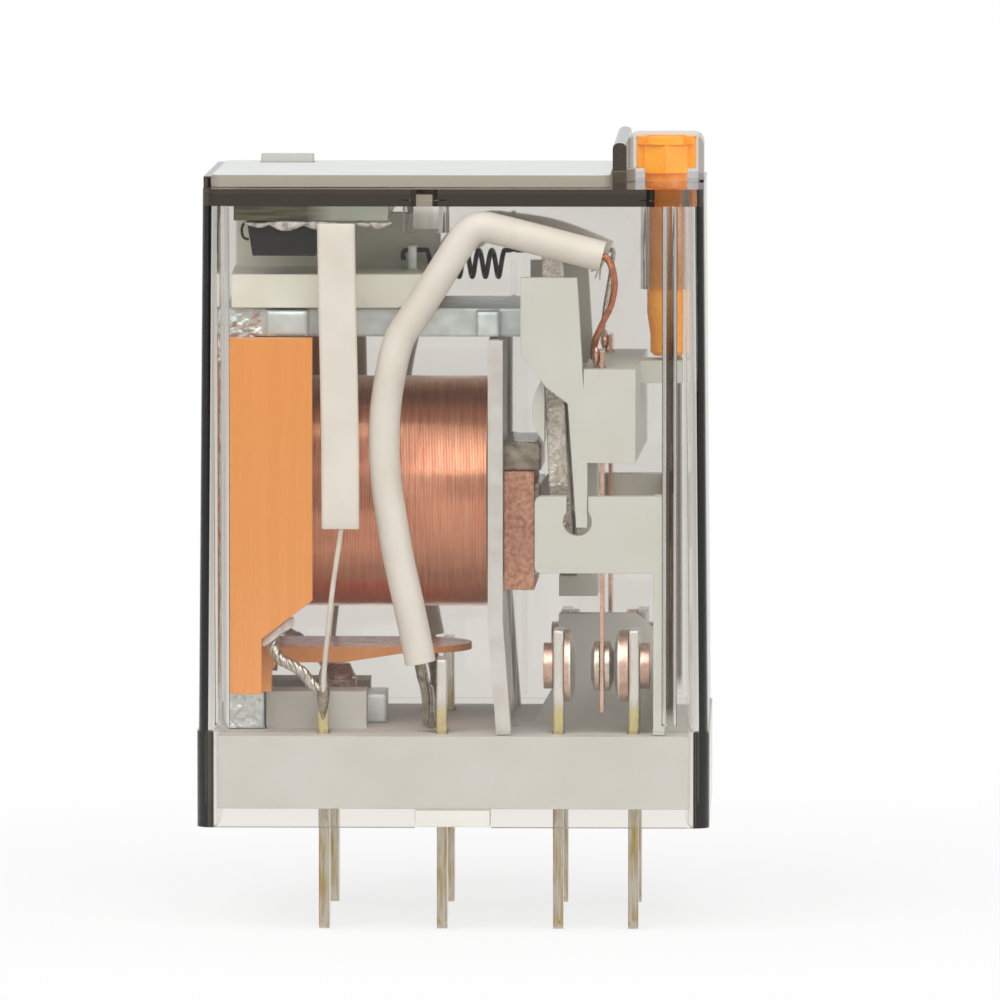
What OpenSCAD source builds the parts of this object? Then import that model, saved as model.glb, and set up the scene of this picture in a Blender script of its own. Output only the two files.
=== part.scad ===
// Plug-in relay with two changeover poles, a lockable test button and an indicator module.
// X runs along the case, Y from the front row of blades to the rear row, Z up.
// The origin is the centre of the seating plane, the lower rim of the case.

/* [Case] */
// Length of the case at its lower rim
case_l = 27.7; // [26:0.1:30]
// Width of the case at its lower rim
case_w = 20.7; // [20.3:0.1:23]
// Height of the case's top face above the rim
case_h = 34.5; // [34.3:0.1:37]
// How far each side leans in between the skirt and the top
case_draft = 0.25; // [0.1:0.05:0.3]
// Outer corner radius of the case
case_r = 0.9; // [0.7:0.1:1.5]
// Wall above the skirt
wall = 0.6; // [0.5:0.05:0.65]
// Wall of the top
top_wall = 0.95; // [0.7:0.05:1.1]
// Height of the thicker skirt
skirt_h = 5.2; // [5:0.1:6]
// Wall of the skirt
skirt_wall = 0.85; // [0.75:0.05:1]
// Step between the skirt and the wall above it
skirt_step = 0.09; // [0.05:0.01:0.15]
// Width of the snap windows in the skirt
snap_w = 4.0; // [3:0.1:6]
// Radius of the half-round ribs inside the front and rear walls
rib_r = 0.4; // [0.2:0.05:0.45]

/* [Label plate and lens] */
// Thickness of the label plate
label_t = 0.65; // [0.4:0.05:1]
// Length of the label plate
label_l = 21.5; // [20:0.1:21.6]
// Width of the label plate
label_w = 16.6; // [12:0.1:18]
// Radius of the peg under the plate
peg_r = 0.68; // [0.5:0.02:0.9]
// Length of the peg below the plate
peg_len = 2.65; // [1.5:0.05:2.8]
// Length of the indicator lens
lens_l = 2.9; // [2:0.1:3.5]
// Width of the indicator lens
lens_w = 1.4; // [1:0.1:1.8]
// How far the lens stands above the plate
lens_rise = 0.45; // [0.2:0.05:0.8]

/* [Test button] */
// Distance of the button's axis from the end of the case
button_inset = 2.48; // [2.4:0.02:2.6]
// Radius of the button's stem
stem_r = 1.16; // [0.9:0.02:1.2]
// Radius of the button's head
knob_r = 1.65; // [1.4:0.05:1.7]
// Height of the head, crown included
knob_h = 2.0; // [1.6:0.05:2.1]
// Height of the crown's teeth
crown_h = 0.45; // [0.3:0.05:0.6]
// Travel of the button
button_travel = 0.4; // [0.3:0.02:0.44]
// Height of the hood around the button
hood_h = 2.6; // [2:0.05:3]
// Wall of the hood
hood_wall = 0.3; // [0.2:0.02:0.32]
// Half width of the hood across the case
hood_y = 2.4; // [2.2:0.1:4]
// Height of the cross rib beside the hood
cross_rib_h = 2.5; // [1:0.05:2.5]

/* [Base] */
// Height of the base's underside above the seating plane
base_z = 0.97; // [0.6:0.01:1.2]
// Thickness of the base
base_t = 3.93; // [3.4:0.01:4]
// Height of the partition between the poles
partition_h = 5.9; // [5:0.1:7]
// Height of the blocks beside the coil pins
coil_block_h = 2.0; // [1:0.1:2.1]

/* [Blades] */
// Thickness of a blade
pin_t = 0.54; // [0.4:0.02:0.7]
// Width of a blade
pin_w = 2.5; // [2:0.1:2.6]
// Distance of each row of blades from the side of the case
row_inset = 3.75; // [3.65:0.05:3.85]
// Length of a blade below the seating plane
pin_len = 5.82; // [4:0.02:8]
// Place of the coil blades
coil_pin_x = -7.07; // [-7.2:0.01:-6.9]
// Place of the common blades
common_pin_x = -0.67; // [-0.8:0.01:-0.6]
// Place of the normally open blades
no_pin_x = 5.63; // [5.5:0.01:5.7]
// Place of the normally closed blades
nc_pin_x = 9.7; // [9.6:0.01:9.9]
// Height of the coil blades above the base
coil_pin_h = 2.3; // [1.5:0.1:2.6]
// Height of the common blades above the base
common_pin_h = 4.0; // [2.5:0.1:4.2]
// Height of the contact blades above the base
contact_pin_h = 5.6; // [5.2:0.1:6]

/* [Contacts] */
// Height of the contacts above the base
contact_h = 3.6; // [3.3:0.1:3.8]
// Radius of the fixed contact heads
fixed_head_r = 1.95; // [1.6:0.05:2]
// Thickness of the normally closed heads
nc_head_t = 0.8; // [0.6:0.02:0.84]
// Radius of the rivet tails
rivet_tail_r = 1.25; // [1:0.05:1.5]
// Length of the rivet tails
rivet_tail_t = 0.5; // [0.3:0.05:0.6]
// Radius of the rivet shanks
shank_r = 0.6; // [0.4:0.05:0.8]
// Radius of the moving heads
moving_head_r = 1.35; // [1:0.05:1.6]
// Thickness of the moving heads
moving_head_t = 0.5; // [0.35:0.02:0.56]
// Gap that is left between contacts that are closed
contact_gap = 0.07; // [0.05:0.01:0.1]
// Thickness of a leaf spring
leaf_t = 0.2; // [0.1:0.02:0.26]
// Width of a leaf spring
leaf_w = 2.2; // [1.6:0.1:2.3]

/* [Magnet] */
// Room between the yoke and the ceiling of the case
head_room = 5.7; // [5.5:0.05:6]
// Share of the room under the yoke that the winding fills
winding_share = 0.72; // [0.65:0.005:0.72]
// Share of the room under the yoke that the core's radius takes
core_share = 0.334; // [0.29:0.002:0.336]
// Turns of the outer layer that are drawn
winding_turns_n = 11; // [8:1:12]
// Diameter of the drawn wire
winding_wire = 0.44; // [0.3:0.02:0.46]
// Thickness of the yoke's steel
yoke_t = 1.55; // [1.3:0.05:1.7]
// Half width of the yoke
yoke_y = 5.6; // [5:0.1:6]
// Length of the pole shoe along the core
pole_l = 2.1; // [1.8:0.05:2.2]
// Thickness of the armature
armature_t = 1.05; // [0.8:0.05:1.1]
// Swing of the armature between its two ends
armature_swing = 2.5; // [2.2:0.1:2.6]
// Residual gap between the armature and the pole
pole_gap = 0.1; // [0.06:0.01:0.15]
// Wall of the insulating flange beside the winding
flange_t = 0.55; // [0.4:0.05:0.6]

/* [Return spring] */
// Diameter of the spring wire
spring_wire = 0.28; // [0.2:0.01:0.28]
// Mean radius of the coils
spring_r = 0.73; // [0.6:0.01:0.8]
// Pitch of the coils
spring_pitch = 0.7; // [0.7:0.01:0.75]
// Number of coils
spring_turns = 6; // [4:1:6]

/* [Leads and module] */
// Diameter of the insulated leads
lead_d = 1.7; // [1.2:0.05:1.75]
// Diameter of the bare strands
strand_d = 0.6; // [0.4:0.05:0.7]
// Diameter of the soldered wires
wire_d = 0.5; // [0.3:0.05:0.6]
// Diameter of the tinned tails of the leads
tail_d = 0.8; // [0.5:0.05:0.9]
// Diameter of the twisted wires of the coil
coil_lead_d = 0.8; // [0.5:0.05:0.85]
// Thickness of the module's circuit board
board_t = 0.8; // [0.6:0.05:0.9]
// Length of the board
board_l = 8.3; // [6:0.1:8.4]
// Width of the board
board_w = 15.6; // [12:0.1:16]
// Width of the flat sleeves
sleeve_w = 2.1; // [1.5:0.05:2.15]
// Thickness of the flat sleeves
sleeve_t = 0.6; // [0.4:0.05:0.65]
// Length of the flat sleeves
sleeve_l = 16.5; // [12:0.1:17]

/* [Hidden] */
$fn = 48;

// Clearances
fit = 0.05;
slide_fit = 0.07;
turn_fit = 0.04;
sink = 0.05;
FRONT = -1;
REAR = 1;

// Case, from the rim upwards
upper_l = case_l - 2 * skirt_step;
upper_w = case_w - 2 * skirt_step;
top_l = upper_l - 2 * case_draft;
top_w = upper_w - 2 * case_draft;
ceiling_z = case_h - top_wall;
inner_y = top_w / 2 - wall;
snap_h = base_z - fit;
left_rib_x = -upper_l / 2 + 1.31;
right_rib_x = upper_l / 2 - 2.1;
rib_y = inner_y - rib_r;
rib_root_y = inner_y + case_draft + sink;
hair_rib_x = 3.15;
hair_rib_w = 0.25;
end_lip_w = 0.4;
end_lip_h = label_t - 0.05;

// Base
base_l = case_l - 2 * skirt_wall - 2 * fit;
base_w = case_w - 2 * skirt_wall - 2 * fit;
base_top = base_z + base_t;
base_r = 0.5;
partition_t = 0.9;
pin_row = case_w / 2 - row_inset;
coil_block_x1 = coil_pin_x + 2.27;
coil_block_y = pin_row - pin_w / 2 - 0.45;
partition_z1 = base_top + partition_h;

// Label plate, peg and lens
label_x0 = -top_l / 2 + end_lip_w + fit;
label_z = case_h + fit / 2;
label_top = label_z + label_t;
peg_x = -1.72;
peg_boss_r = peg_r + 0.57;
peg_boss_len = 1.9;
lens_x = -9.6;
lens_y = 6.6;

// Coil, core and yoke
bar_z1 = ceiling_z - head_room;
bar_z0 = bar_z1 - yoke_t;
axis_z = base_top + 0.589 * (bar_z0 - base_top);
yoke_rise = bar_z0 - axis_z;
core_r = core_share * yoke_rise;
lead_room = lead_d + 0.6;
winding_r = min(winding_share * yoke_rise, inner_y - lead_room);
leg_x0 = -case_l / 2 + 1.55;
leg_x1 = leg_x0 + yoke_t;
nose_r = yoke_t / 2;
pole_x = 4.55;
shoe_x0 = pole_x - pole_l;
pivot_x = pole_x + pole_gap - fit - nose_r;
pivot_z = bar_z0 + nose_r;
foot_x1 = -3.8;
foot_y = 1.9;
foot_pad_x1 = leg_x1 + 0.45;
coil_block_x0 = foot_pad_x1 + 0.1;
rivet_x = coil_pin_x + 0.67;
rivet_r = 0.55;
lug_y = 7.2;
lug_spans = [[-10.1, -7.9], [1.2, 2.4]];
lug_step = 0.1;
wall_x1 = shoe_x0 - fit;
wall_x0 = wall_x1 - flange_t;
flange_x0 = leg_x1 + fit;
flange_x1 = flange_x0 + 1.0;
tube_r = core_r + fit + 0.55;
pole_top = axis_z + core_r;
slot_z1 = axis_z + 1.4;
slot_z0 = slot_z1 - 0.75;
shoe_z0 = axis_z - 4.4;
shoe_y = 3.6;
ring_t = slot_z1 - slot_z0 - 2 * fit;
ring_x1 = pole_x - 0.35;

// Armature, drawn shut and then opened about the yoke's nose
armature_x0 = pole_x + pole_gap;
armature_x1 = armature_x0 + armature_t;
armature_z0 = axis_z - 3.45;
armature_step_z = axis_z + 0.55;
armature_y = 5.5;
tail_y = 1.6;

// Contacts, from the normally closed blade inwards
contact_z = base_top + contact_h;
nc_face_x = nc_pin_x - pin_t / 2 - nc_head_t;
leaf_x1 = nc_face_x - contact_gap - moving_head_t;
leaf_x0 = leaf_x1 - leaf_t;
contact_stroke = (pivot_z - contact_z) * sin(armature_swing);
no_face_x = leaf_x0 - moving_head_t - contact_stroke - contact_gap;
no_head_t = no_face_x - no_pin_x - pin_t / 2;
leaf_z0 = contact_z - 2.45;
leaf_z1 = pivot_z - 1.4;

// Carrier and the brackets that stop it
plate_y0 = pin_row + leaf_w / 2 + 0.25;
plate_y1 = plate_y0 + 0.9;
bracket_y0 = plate_y0 - 0.05;
bracket_y1 = plate_y1 + 0.1;
beam_x0 = leaf_x0 - 0.85;
beam_x1 = leaf_x1 + 1.75;
beam_z0 = pivot_z - 7.4;
beam_z1 = pivot_z - 2.35;
tip_z = pivot_z - 10.9;
tip_x0 = beam_x0 - 0.41;
tip_w = 0.62;
notch_r = 0.78;
notch_z = tip_z + 0.33;
tip_stroke = (pivot_z - notch_z) * sin(armature_swing);
notch_x = tip_x0 + (tip_w - tip_stroke) / 2;
neck = (tip_w + tip_stroke) / 2 + fit;
bracket_z1 = notch_z + 1.35;
bracket_z0 = bracket_z1 - 4.15;
upright_x0 = nc_pin_x + pin_t / 2 + rivet_tail_t + 0.3;
upright_x1 = upright_x0 + 0.62;

// Button, from the carrier's arm upwards
button_x = case_l / 2 - button_inset;
arm_z1 = beam_z1;
arm_z0 = arm_z1 - 1.2;
arm_x1 = button_x + 0.9;
arm_drop = (button_x - stem_r - pivot_x) * sin(armature_swing);
stem_z0 = arm_z1 + button_travel - arm_drop + fit + 0.05;
knob_z0 = case_h + button_travel + fit;
ear_z0 = knob_z0 + 0.25;
knob_z1 = knob_z0 + knob_h;
spigot_r = 0.6;
spigot_z1 = knob_z1 - crown_h - 0.35;
bore_r = stem_r + slide_fit;
guide_r = bore_r + 0.38;
guide_len = 4.95;
collar_r = stem_r + 0.1;
collar_h = 2.4;
hood_x0 = button_x - knob_r - 0.12 - hood_wall;
hood_x1 = button_x + knob_r + 0.12 + hood_wall;
hood_r = 0.55;
hood_top = case_h + hood_h;
cross_rib_t = 0.7;
tongue_x1 = button_x - knob_r - 0.04;
tongue_y = 0.8;
label_x1 = min(label_x0 + label_l, hood_x0 - cross_rib_t - fit);

// Spring
spring_z = bar_z1 + 2.1;
spring_x0 = -1.7;
spring_x1 = spring_x0 + spring_pitch * spring_turns;
hook_z = spring_z + spring_r;
hook_drop = 0.55;
hook_room = 0.15;
post_x1 = spring_x0 - 0.5;
post_x0 = post_x1 - 0.45;
tail_top = hook_z + 0.35;
tail_rest_x1 = pivot_x + (armature_x1 - pivot_x) * cos(armature_swing)
    - (hook_z - pivot_z) * sin(armature_swing);

// Module under the ceiling
board_x0 = leg_x0 + 0.45;
board_z1 = ceiling_z - fit;
board_z0 = board_z1 - board_t;
shelf_z0 = bar_z1 + fit;
shelf_t = 0.316 * head_room;
diode_h = 0.342 * head_room;
diode_l = 3.7;
diode_w = 2.8;
shelf_y = 6.4;
shelf_x1 = -0.9;
back_wall_x1 = -1.0;
wing_x0 = leg_x0 + 0.2;
wing_x1 = wing_x0 + 4.5;
sleeve_x = wing_x1 + 0.37 + sleeve_w / 2;
sleeve_y0 = inner_y - 0.1 - sleeve_t;
sleeve_z1 = board_z0 - 0.1;
sleeve_z0 = sleeve_z1 - sleeve_l;
room_h = ceiling_z - base_top;

// Routes in front of the mechanism, from below upwards. Each point has its place along the case, its
// distance from the inside of the front wall and its height, in percent of the room above the base.
lead_route = [
    [-1.8, 1.2, 13.6], [-2.15, 1.1, 20], [-2.55, 1, 26.6], [-3, 1, 34], [-3.35, 1, 41.2], [-3.65, 1, 48.5],
    [-3.75, 1, 56], [-3.6, 1, 63.5], [-3, 1, 73.9], [-2.2, 1, 78.8], [-1.2, 1, 84.3], [-0.2, 1, 89.8],
    [0.45, 1, 93.3], [0.95, 1, 95.3], [1.55, 1.05, 96], [2.3, 1.1, 95.5], [4.6, 1.1, 93.5], [8, 1.1, 90.4]
];
tail_top_x = lead_route[0].x;
tail_end_x = common_pin_x - pin_t / 2 - tail_d / 2 - fit;
tail_route = [
    [tail_top_x, 1.2, 13.1], [tail_top_x + 0.14, 1.4, 10.4], [tail_end_x - 0.06, 1.8, 6.8],
    [tail_end_x, 2.2, 3.4], [tail_end_x, 2.4, 1]
];
solder_x = coil_pin_x + 0.05;
wire_top = 100 * (sleeve_z0 - fit - base_top) / room_h;
module_wire_route = [
    [sleeve_x + 0.12, 0.4, wire_top], [sleeve_x - 0.28, 0.45, 0.74 * wire_top],
    [sleeve_x - 0.6, 0.65, 0.49 * wire_top], [solder_x, 1, 10.1], [solder_x, 1.2, 6]
];
coil_lead_x0 = wing_x0 + 2.3;
coil_lead_x1 = coil_pin_x - pin_t / 2 - coil_lead_d / 2;
coil_lead_run = coil_lead_x1 - coil_lead_x0;
coil_lead_route = [
    [coil_lead_x0, 1.5, 17.5], [coil_lead_x0 + 0.07 * coil_lead_run, 1.4, 15.7],
    [coil_lead_x0 + 0.24 * coil_lead_run, 1.25, 14.1], [coil_lead_x0 + 0.54 * coil_lead_run, 1.15, 12.9],
    [coil_lead_x0 + 0.83 * coil_lead_run, 1.1, 11.5], [coil_lead_x1, 1.1, 9.8]
];

// Route of the strands from the lead's end to the top of the leaf, with heights above the pivot
pigtail_x1 = leaf_x0 - strand_d / 2 - fit;
pigtail_route = [
    [8.32, 1.1, 3.6], [8.57, 1.1, 3.1], [8.65, 1.2, 2.3], [8.5, 1.4, 1.2],
    [8.1, 1.5, 0.3], [7.7, 1.8, -0.6], [pigtail_x1, 2.2, -1.3], [pigtail_x1, 2.4, -1.9]
];

// Vector and path helpers
function unit(v) = v / norm(v);
function directions(path) =
    [for (i = [0 : len(path) - 1]) unit(path[min(i + 1, len(path) - 1)] - path[max(i - 1, 0)])];
function square_to(v, t) = unit(v - (v * t) * t);
function carried(t, v, i = 0) =
    i == len(t) ? [] : let (n = square_to(v, t[i])) concat([n], carried(t, n, i + 1));
function along_wall(route, side, z0, step) =
    [for (p = route) [p.x, side * (inner_y - p.y), z0 + step * p.z]];
function in_room(route, side) = along_wall(route, side, base_top, room_h / 100);
function arc(cx, cy, r, a0, a1, n = 6) =
    [for (i = [0 : n]) [cx + r * cos(a0 + (a1 - a0) * i / n), cy + r * sin(a0 + (a1 - a0) * i / n)]];
function rounded_box(x0, y0, x1, y1, r) = concat(
    arc(x1 - r, y1 - r, r, 0, 90), arc(x0 + r, y1 - r, r, 90, 180),
    arc(x0 + r, y0 + r, r, 180, 270), arc(x1 - r, y0 + r, r, 270, 360));
function least_gap(path, d, apart) = min([
    for (i = [0 : len(path) - 1], j = [i + 1 : 1 : len(path) - 1])
        if (j - i >= apart) norm(path[i] - path[j]) - d
]);

// One closed tube of triangles along a path
module tube(path, d, sides) {
    t = directions(path);
    n = carried(t, abs(t[0].z) > 0.9 ? [1, 0, 0] : [0, 0, 1]);
    rings = len(path);
    points = [
        for (i = [0 : rings - 1], s = [0 : sides - 1])
            path[i] + d / 2 * (cos(360 * s / sides) * n[i] + sin(360 * s / sides) * cross(t[i], n[i]))
    ];
    walls = [
        for (i = [0 : rings - 2], s = [0 : sides - 1])
            let (a = i * sides + s, b = i * sides + (s + 1) % sides)
                each [[a, b + sides, b], [a, a + sides, b + sides]]
    ];
    last = (rings - 1) * sides;
    ends = [for (s = [1 : sides - 2]) each [[0, s, s + 1], [last, last + s + 1, last + s]]];
    polyhedron(points = points, faces = concat(walls, ends));
}

// Shape helpers
module block(x0, x1, y0, y1, z0, z1) {
    translate([x0, y0, z0]) cube([x1 - x0, y1 - y0, z1 - z0]);
}
module slab(outline, y0, y1) {
    translate([0, y1, 0]) rotate([90, 0, 0]) linear_extrude(y1 - y0) polygon(outline);
}
module plan(outline, z0, z1) {
    translate([0, 0, z0]) linear_extrude(z1 - z0) polygon(outline);
}
module rod_x(x0, x1, y, z, r) {
    translate([x0, y, z]) rotate([0, 90, 0]) cylinder(r = r, h = x1 - x0);
}
module front_and_rear() {
    children();
    mirror([0, 1, 0]) children();
}
module rounded_plan(l, w, r) {
    square([l - 2 * r, w], center = true);
    square([l, w - 2 * r], center = true);
    for (x = [-1, 1], y = [-1, 1]) translate([x * (l / 2 - r), y * (w / 2 - r)]) circle(r);
}
module leaning_box(l0, w0, l1, w1, r, z0, z1) {
    layer = 0.01;
    hull() {
        translate([0, 0, z0]) linear_extrude(layer) rounded_plan(l0, w0, r, $fn = 32);
        translate([0, 0, z1 - layer]) linear_extrude(layer) rounded_plan(l1, w1, r, $fn = 32);
    }
}
module opened() {
    translate([pivot_x, 0, pivot_z]) rotate([0, -armature_swing, 0]) translate([-pivot_x, 0, -pivot_z])
        children();
}

// Clear case
module skirt() {
    difference() {
        linear_extrude(skirt_h) rounded_plan(case_l, case_w, case_r);
        translate([0, 0, -1]) linear_extrude(skirt_h + 2)
            rounded_plan(case_l - 2 * skirt_wall, case_w - 2 * skirt_wall, base_r + fit);
    }
}
module upper_shell() {
    inner_l0 = upper_l - 2 * wall;
    inner_w0 = upper_w - 2 * wall;
    difference() {
        leaning_box(upper_l, upper_w, top_l, top_w, case_r, skirt_h - sink, case_h);
        leaning_box(inner_l0, inner_w0, top_l - 2 * wall, top_w - 2 * wall, case_r - wall / 2,
            skirt_h - 2 * sink, ceiling_z);
    }
}
module hood() {
    outline = rounded_box(hood_x0, case_h - 1, hood_x1, hood_top, hood_r);
    difference() {
        intersection() {
            slab(outline, -hood_y, hood_y);
            block(hood_x0, hood_x1, -hood_y, hood_y, case_h - sink, hood_top);
        }
        block(hood_x0 + hood_wall, hood_x1 - hood_wall, -hood_y + hood_wall, hood_y - hood_wall,
            case_h, hood_top + 1);
    }
}
module cross_rib() {
    x0 = hood_x0 - cross_rib_t;
    x1 = hood_x0 + sink;
    round_r = 0.3;
    round_z = case_h + cross_rib_h - round_r;
    end_y = top_w / 2 - fit;
    slab(concat([[x1, case_h - sink]], arc(x1 - round_r, round_z, round_r, 0, 90, 3),
        arc(x0 + round_r, round_z, round_r, 90, 180, 3), [[x0, case_h - sink]]), -end_y, end_y);
}
module cover() {
    color([0.55, 0.52, 0.5, 0.35]) difference() {
        union() {
            skirt();
            upper_shell();
            hood();
            cross_rib();
            block(-top_l / 2, -top_l / 2 + end_lip_w, -label_w / 2, label_w / 2,
                case_h - sink, case_h + end_lip_h);
            translate([button_x, 0, ceiling_z - guide_len]) cylinder(r = guide_r, h = guide_len + sink);
            translate([peg_x, 0, ceiling_z - peg_boss_len]) cylinder(r = peg_boss_r, h = peg_boss_len + sink);
            front_and_rear() {
                for (x = [left_rib_x, right_rib_x]) {
                    foot = [[x + rib_r, rib_root_y], [x - rib_r, rib_root_y]];
                    plan(concat(arc(x, inner_y, rib_r, 180, 360, 10), foot), skirt_h + 0.3, ceiling_z + sink);
                }
                block(hair_rib_x, hair_rib_x + hair_rib_w, rib_y + rib_r / 2, rib_root_y,
                    skirt_h + 0.3, ceiling_z + sink);
            }
        }
        translate([button_x, 0, ceiling_z - guide_len - 1])
            cylinder(r = bore_r, h = guide_len + top_wall + 2);
        translate([peg_x, 0, ceiling_z - peg_boss_len - 1])
            cylinder(r = peg_r + fit, h = peg_boss_len + top_wall + 2);
        block(hood_x0 - cross_rib_t - 1, hood_x0 + hood_wall + 0.1, -tongue_y - fit, tongue_y + fit,
            case_h, label_top + fit);
        front_and_rear() block(-snap_w / 2 - fit, snap_w / 2 + fit, base_w / 2, case_w, -1, snap_h + fit);
    }
}

// White plate with its peg and the tongue under the hood
module label_plate() {
    color([0.9, 0.91, 0.9]) difference() {
        union() {
            plan(rounded_box(label_x0, -label_w / 2, label_x1, label_w / 2, 0.6), label_z, label_top);
            block(label_x1 - 1, tongue_x1, -tongue_y, tongue_y, label_z, label_top);
            translate([peg_x, 0, label_z - peg_len]) cylinder(r = peg_r, h = peg_len + sink);
        }
        block(lens_x - lens_l / 2 - fit, lens_x + lens_l / 2 + fit, lens_y - lens_w / 2 - fit,
            lens_y + lens_w / 2 + fit, label_z - 1, label_top + 1);
    }
}
module indicator_lens() {
    color([0.8, 0.85, 0.82, 0.6])
        plan(rounded_box(lens_x - lens_l / 2, lens_y - lens_w / 2, lens_x + lens_l / 2,
            lens_y + lens_w / 2, 0.2), label_z, label_top + lens_rise);
}

// Test button: a sliding stem and the head that turns on its spigot
module button_stem() {
    collar_z1 = ceiling_z - guide_len - 2 * fit;
    collar_z0 = collar_z1 - collar_h;
    foot_r = stem_r - 0.08;
    foot_bevel = 0.2;
    color([0.85, 0.4, 0.08]) translate([button_x, 0, 0]) {
        translate([0, 0, stem_z0]) cylinder(r1 = foot_r - foot_bevel, r2 = foot_r, h = foot_bevel);
        translate([0, 0, stem_z0 + foot_bevel]) cylinder(r = foot_r, h = collar_z0 - stem_z0 - foot_bevel);
        translate([0, 0, collar_z0 - sink]) cylinder(r1 = foot_r, r2 = collar_r, h = collar_h / 2 + sink);
        translate([0, 0, collar_z0 + collar_h / 2]) cylinder(r = collar_r, h = collar_h / 2);
        translate([0, 0, collar_z1 - sink]) cylinder(r = stem_r, h = knob_z0 - fit - collar_z1 + sink);
        translate([0, 0, knob_z0 - fit - sink]) cylinder(r = spigot_r, h = spigot_z1 - knob_z0 + fit + sink);
    }
}
module button_knob() {
    pointer_x = 0.72 * knob_r;
    shoulder_y = -0.62 * knob_r;
    ear_y = -0.36 * knob_r;
    crown_z = knob_z1 - crown_h;
    color([1, 0.6, 0.15]) translate([button_x, 0, 0]) difference() {
        union() {
            difference() {
                translate([0, 0, ear_z0]) cylinder(r = knob_r, h = knob_z1 - ear_z0);
                block(-2 * knob_r, 2 * knob_r, -2 * knob_r, ear_y, ear_z0 - 1, crown_z);
            }
            plan([[-pointer_x, 0.3], [-pointer_x, shoulder_y], [0, -knob_r],
                [pointer_x, shoulder_y], [pointer_x, 0.3]], knob_z0, crown_z + sink);
        }
        translate([0, 0, knob_z0 - 1]) cylinder(r = spigot_r + turn_fit, h = spigot_z1 + fit - knob_z0 + 1);
        translate([0, 0, crown_z]) cylinder(r = knob_r - 0.5, h = crown_h + 1);
        for (a = [45, 135]) rotate([0, 0, a])
            block(-2 * knob_r, 2 * knob_r, -0.25, 0.25, crown_z, knob_z1 + 1);
    }
}

// Grey base with snap tabs, blade slots, coil blocks and the partition between the poles
module blade_slot(x, y) {
    block(x - pin_t / 2 - fit, x + pin_t / 2 + fit, y - pin_w / 2 - fit, y + pin_w / 2 + fit,
        base_z - 1, base_top + 1);
}
module base() {
    partition_x0 = no_pin_x - 1.6;
    partition_x1 = nc_pin_x + 1.0;
    color([0.8, 0.8, 0.76]) difference() {
        union() {
            translate([0, 0, base_z]) linear_extrude(base_t) rounded_plan(base_l, base_w, base_r);
            front_and_rear() {
                block(-snap_w / 2, snap_w / 2, -base_w / 2 + fit, -base_w / 2 + 1.6, fit, base_z + sink);
                block(-snap_w / 2, snap_w / 2, -case_w / 2 + fit, -base_w / 2 + 2 * fit, fit, snap_h);
                block(coil_block_x0, coil_block_x1, -coil_block_y, -foot_y - fit,
                    base_top - sink, base_top + coil_block_h);
            }
            slab([[partition_x0, base_top - sink], [partition_x0 + 1.1, base_top + 1.9],
                [partition_x0 + 1.4, partition_z1], [partition_x1 - 1.2, partition_z1],
                [partition_x1 - 0.3, partition_z1 - 0.8], [partition_x1, base_top - sink]],
                -partition_t / 2, partition_t / 2);
        }
        for (x = [coil_pin_x, common_pin_x, no_pin_x, nc_pin_x], y = [-pin_row, pin_row]) blade_slot(x, y);
        translate([rivet_x, 0, base_z - 1]) cylinder(r = rivet_r + fit, h = base_t + 2);
    }
}

// Grey uprights with the notched brackets at the front and the rear
module contact_frame() {
    bracket_x0 = notch_x - 2.3;
    color([0.8, 0.8, 0.76]) {
        block(upright_x0, upright_x1, -bracket_y1, bracket_y1, base_top + fit, base_top + 3.2);
        front_and_rear() {
            block(upright_x0, upright_x1, bracket_y0 - 1, bracket_y1, base_top + 3, bracket_z1);
            difference() {
                slab(rounded_box(bracket_x0, bracket_z0, upright_x0 + 0.6, bracket_z1, 0.35),
                    bracket_y0, bracket_y1);
                translate([notch_x, bracket_y0 - 1, notch_z]) rotate([-90, 0, 0])
                    cylinder(r = notch_r, h = bracket_y1 - bracket_y0 + 2);
                block(notch_x - neck, notch_x + neck, bracket_y0 - 1, bracket_y1 + 1,
                    notch_z, bracket_z1 + 1);
            }
        }
    }
}

// Plug blades
module blade(x, side, height) {
    y = side * pin_row;
    tip_r = 0.8;
    outline = concat([[pin_w / 2, base_top + height], [-pin_w / 2, base_top + height]],
        arc(-pin_w / 2 + tip_r, tip_r - pin_len, tip_r, 180, 270),
        arc(pin_w / 2 - tip_r, tip_r - pin_len, tip_r, 270, 360));
    translate([x - pin_t / 2, y, 0]) rotate([90, 0, 90]) linear_extrude(pin_t) polygon(outline);
}
module plain_blade(x, side, height) {
    color([0.8, 0.78, 0.72]) blade(x, side, height);
}
module contact_blade(x, side) {
    color([0.8, 0.78, 0.72]) difference() {
        blade(x, side, contact_pin_h);
        rod_x(x - 1, x + 1, side * pin_row, contact_z, shank_r + fit);
    }
}

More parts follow.
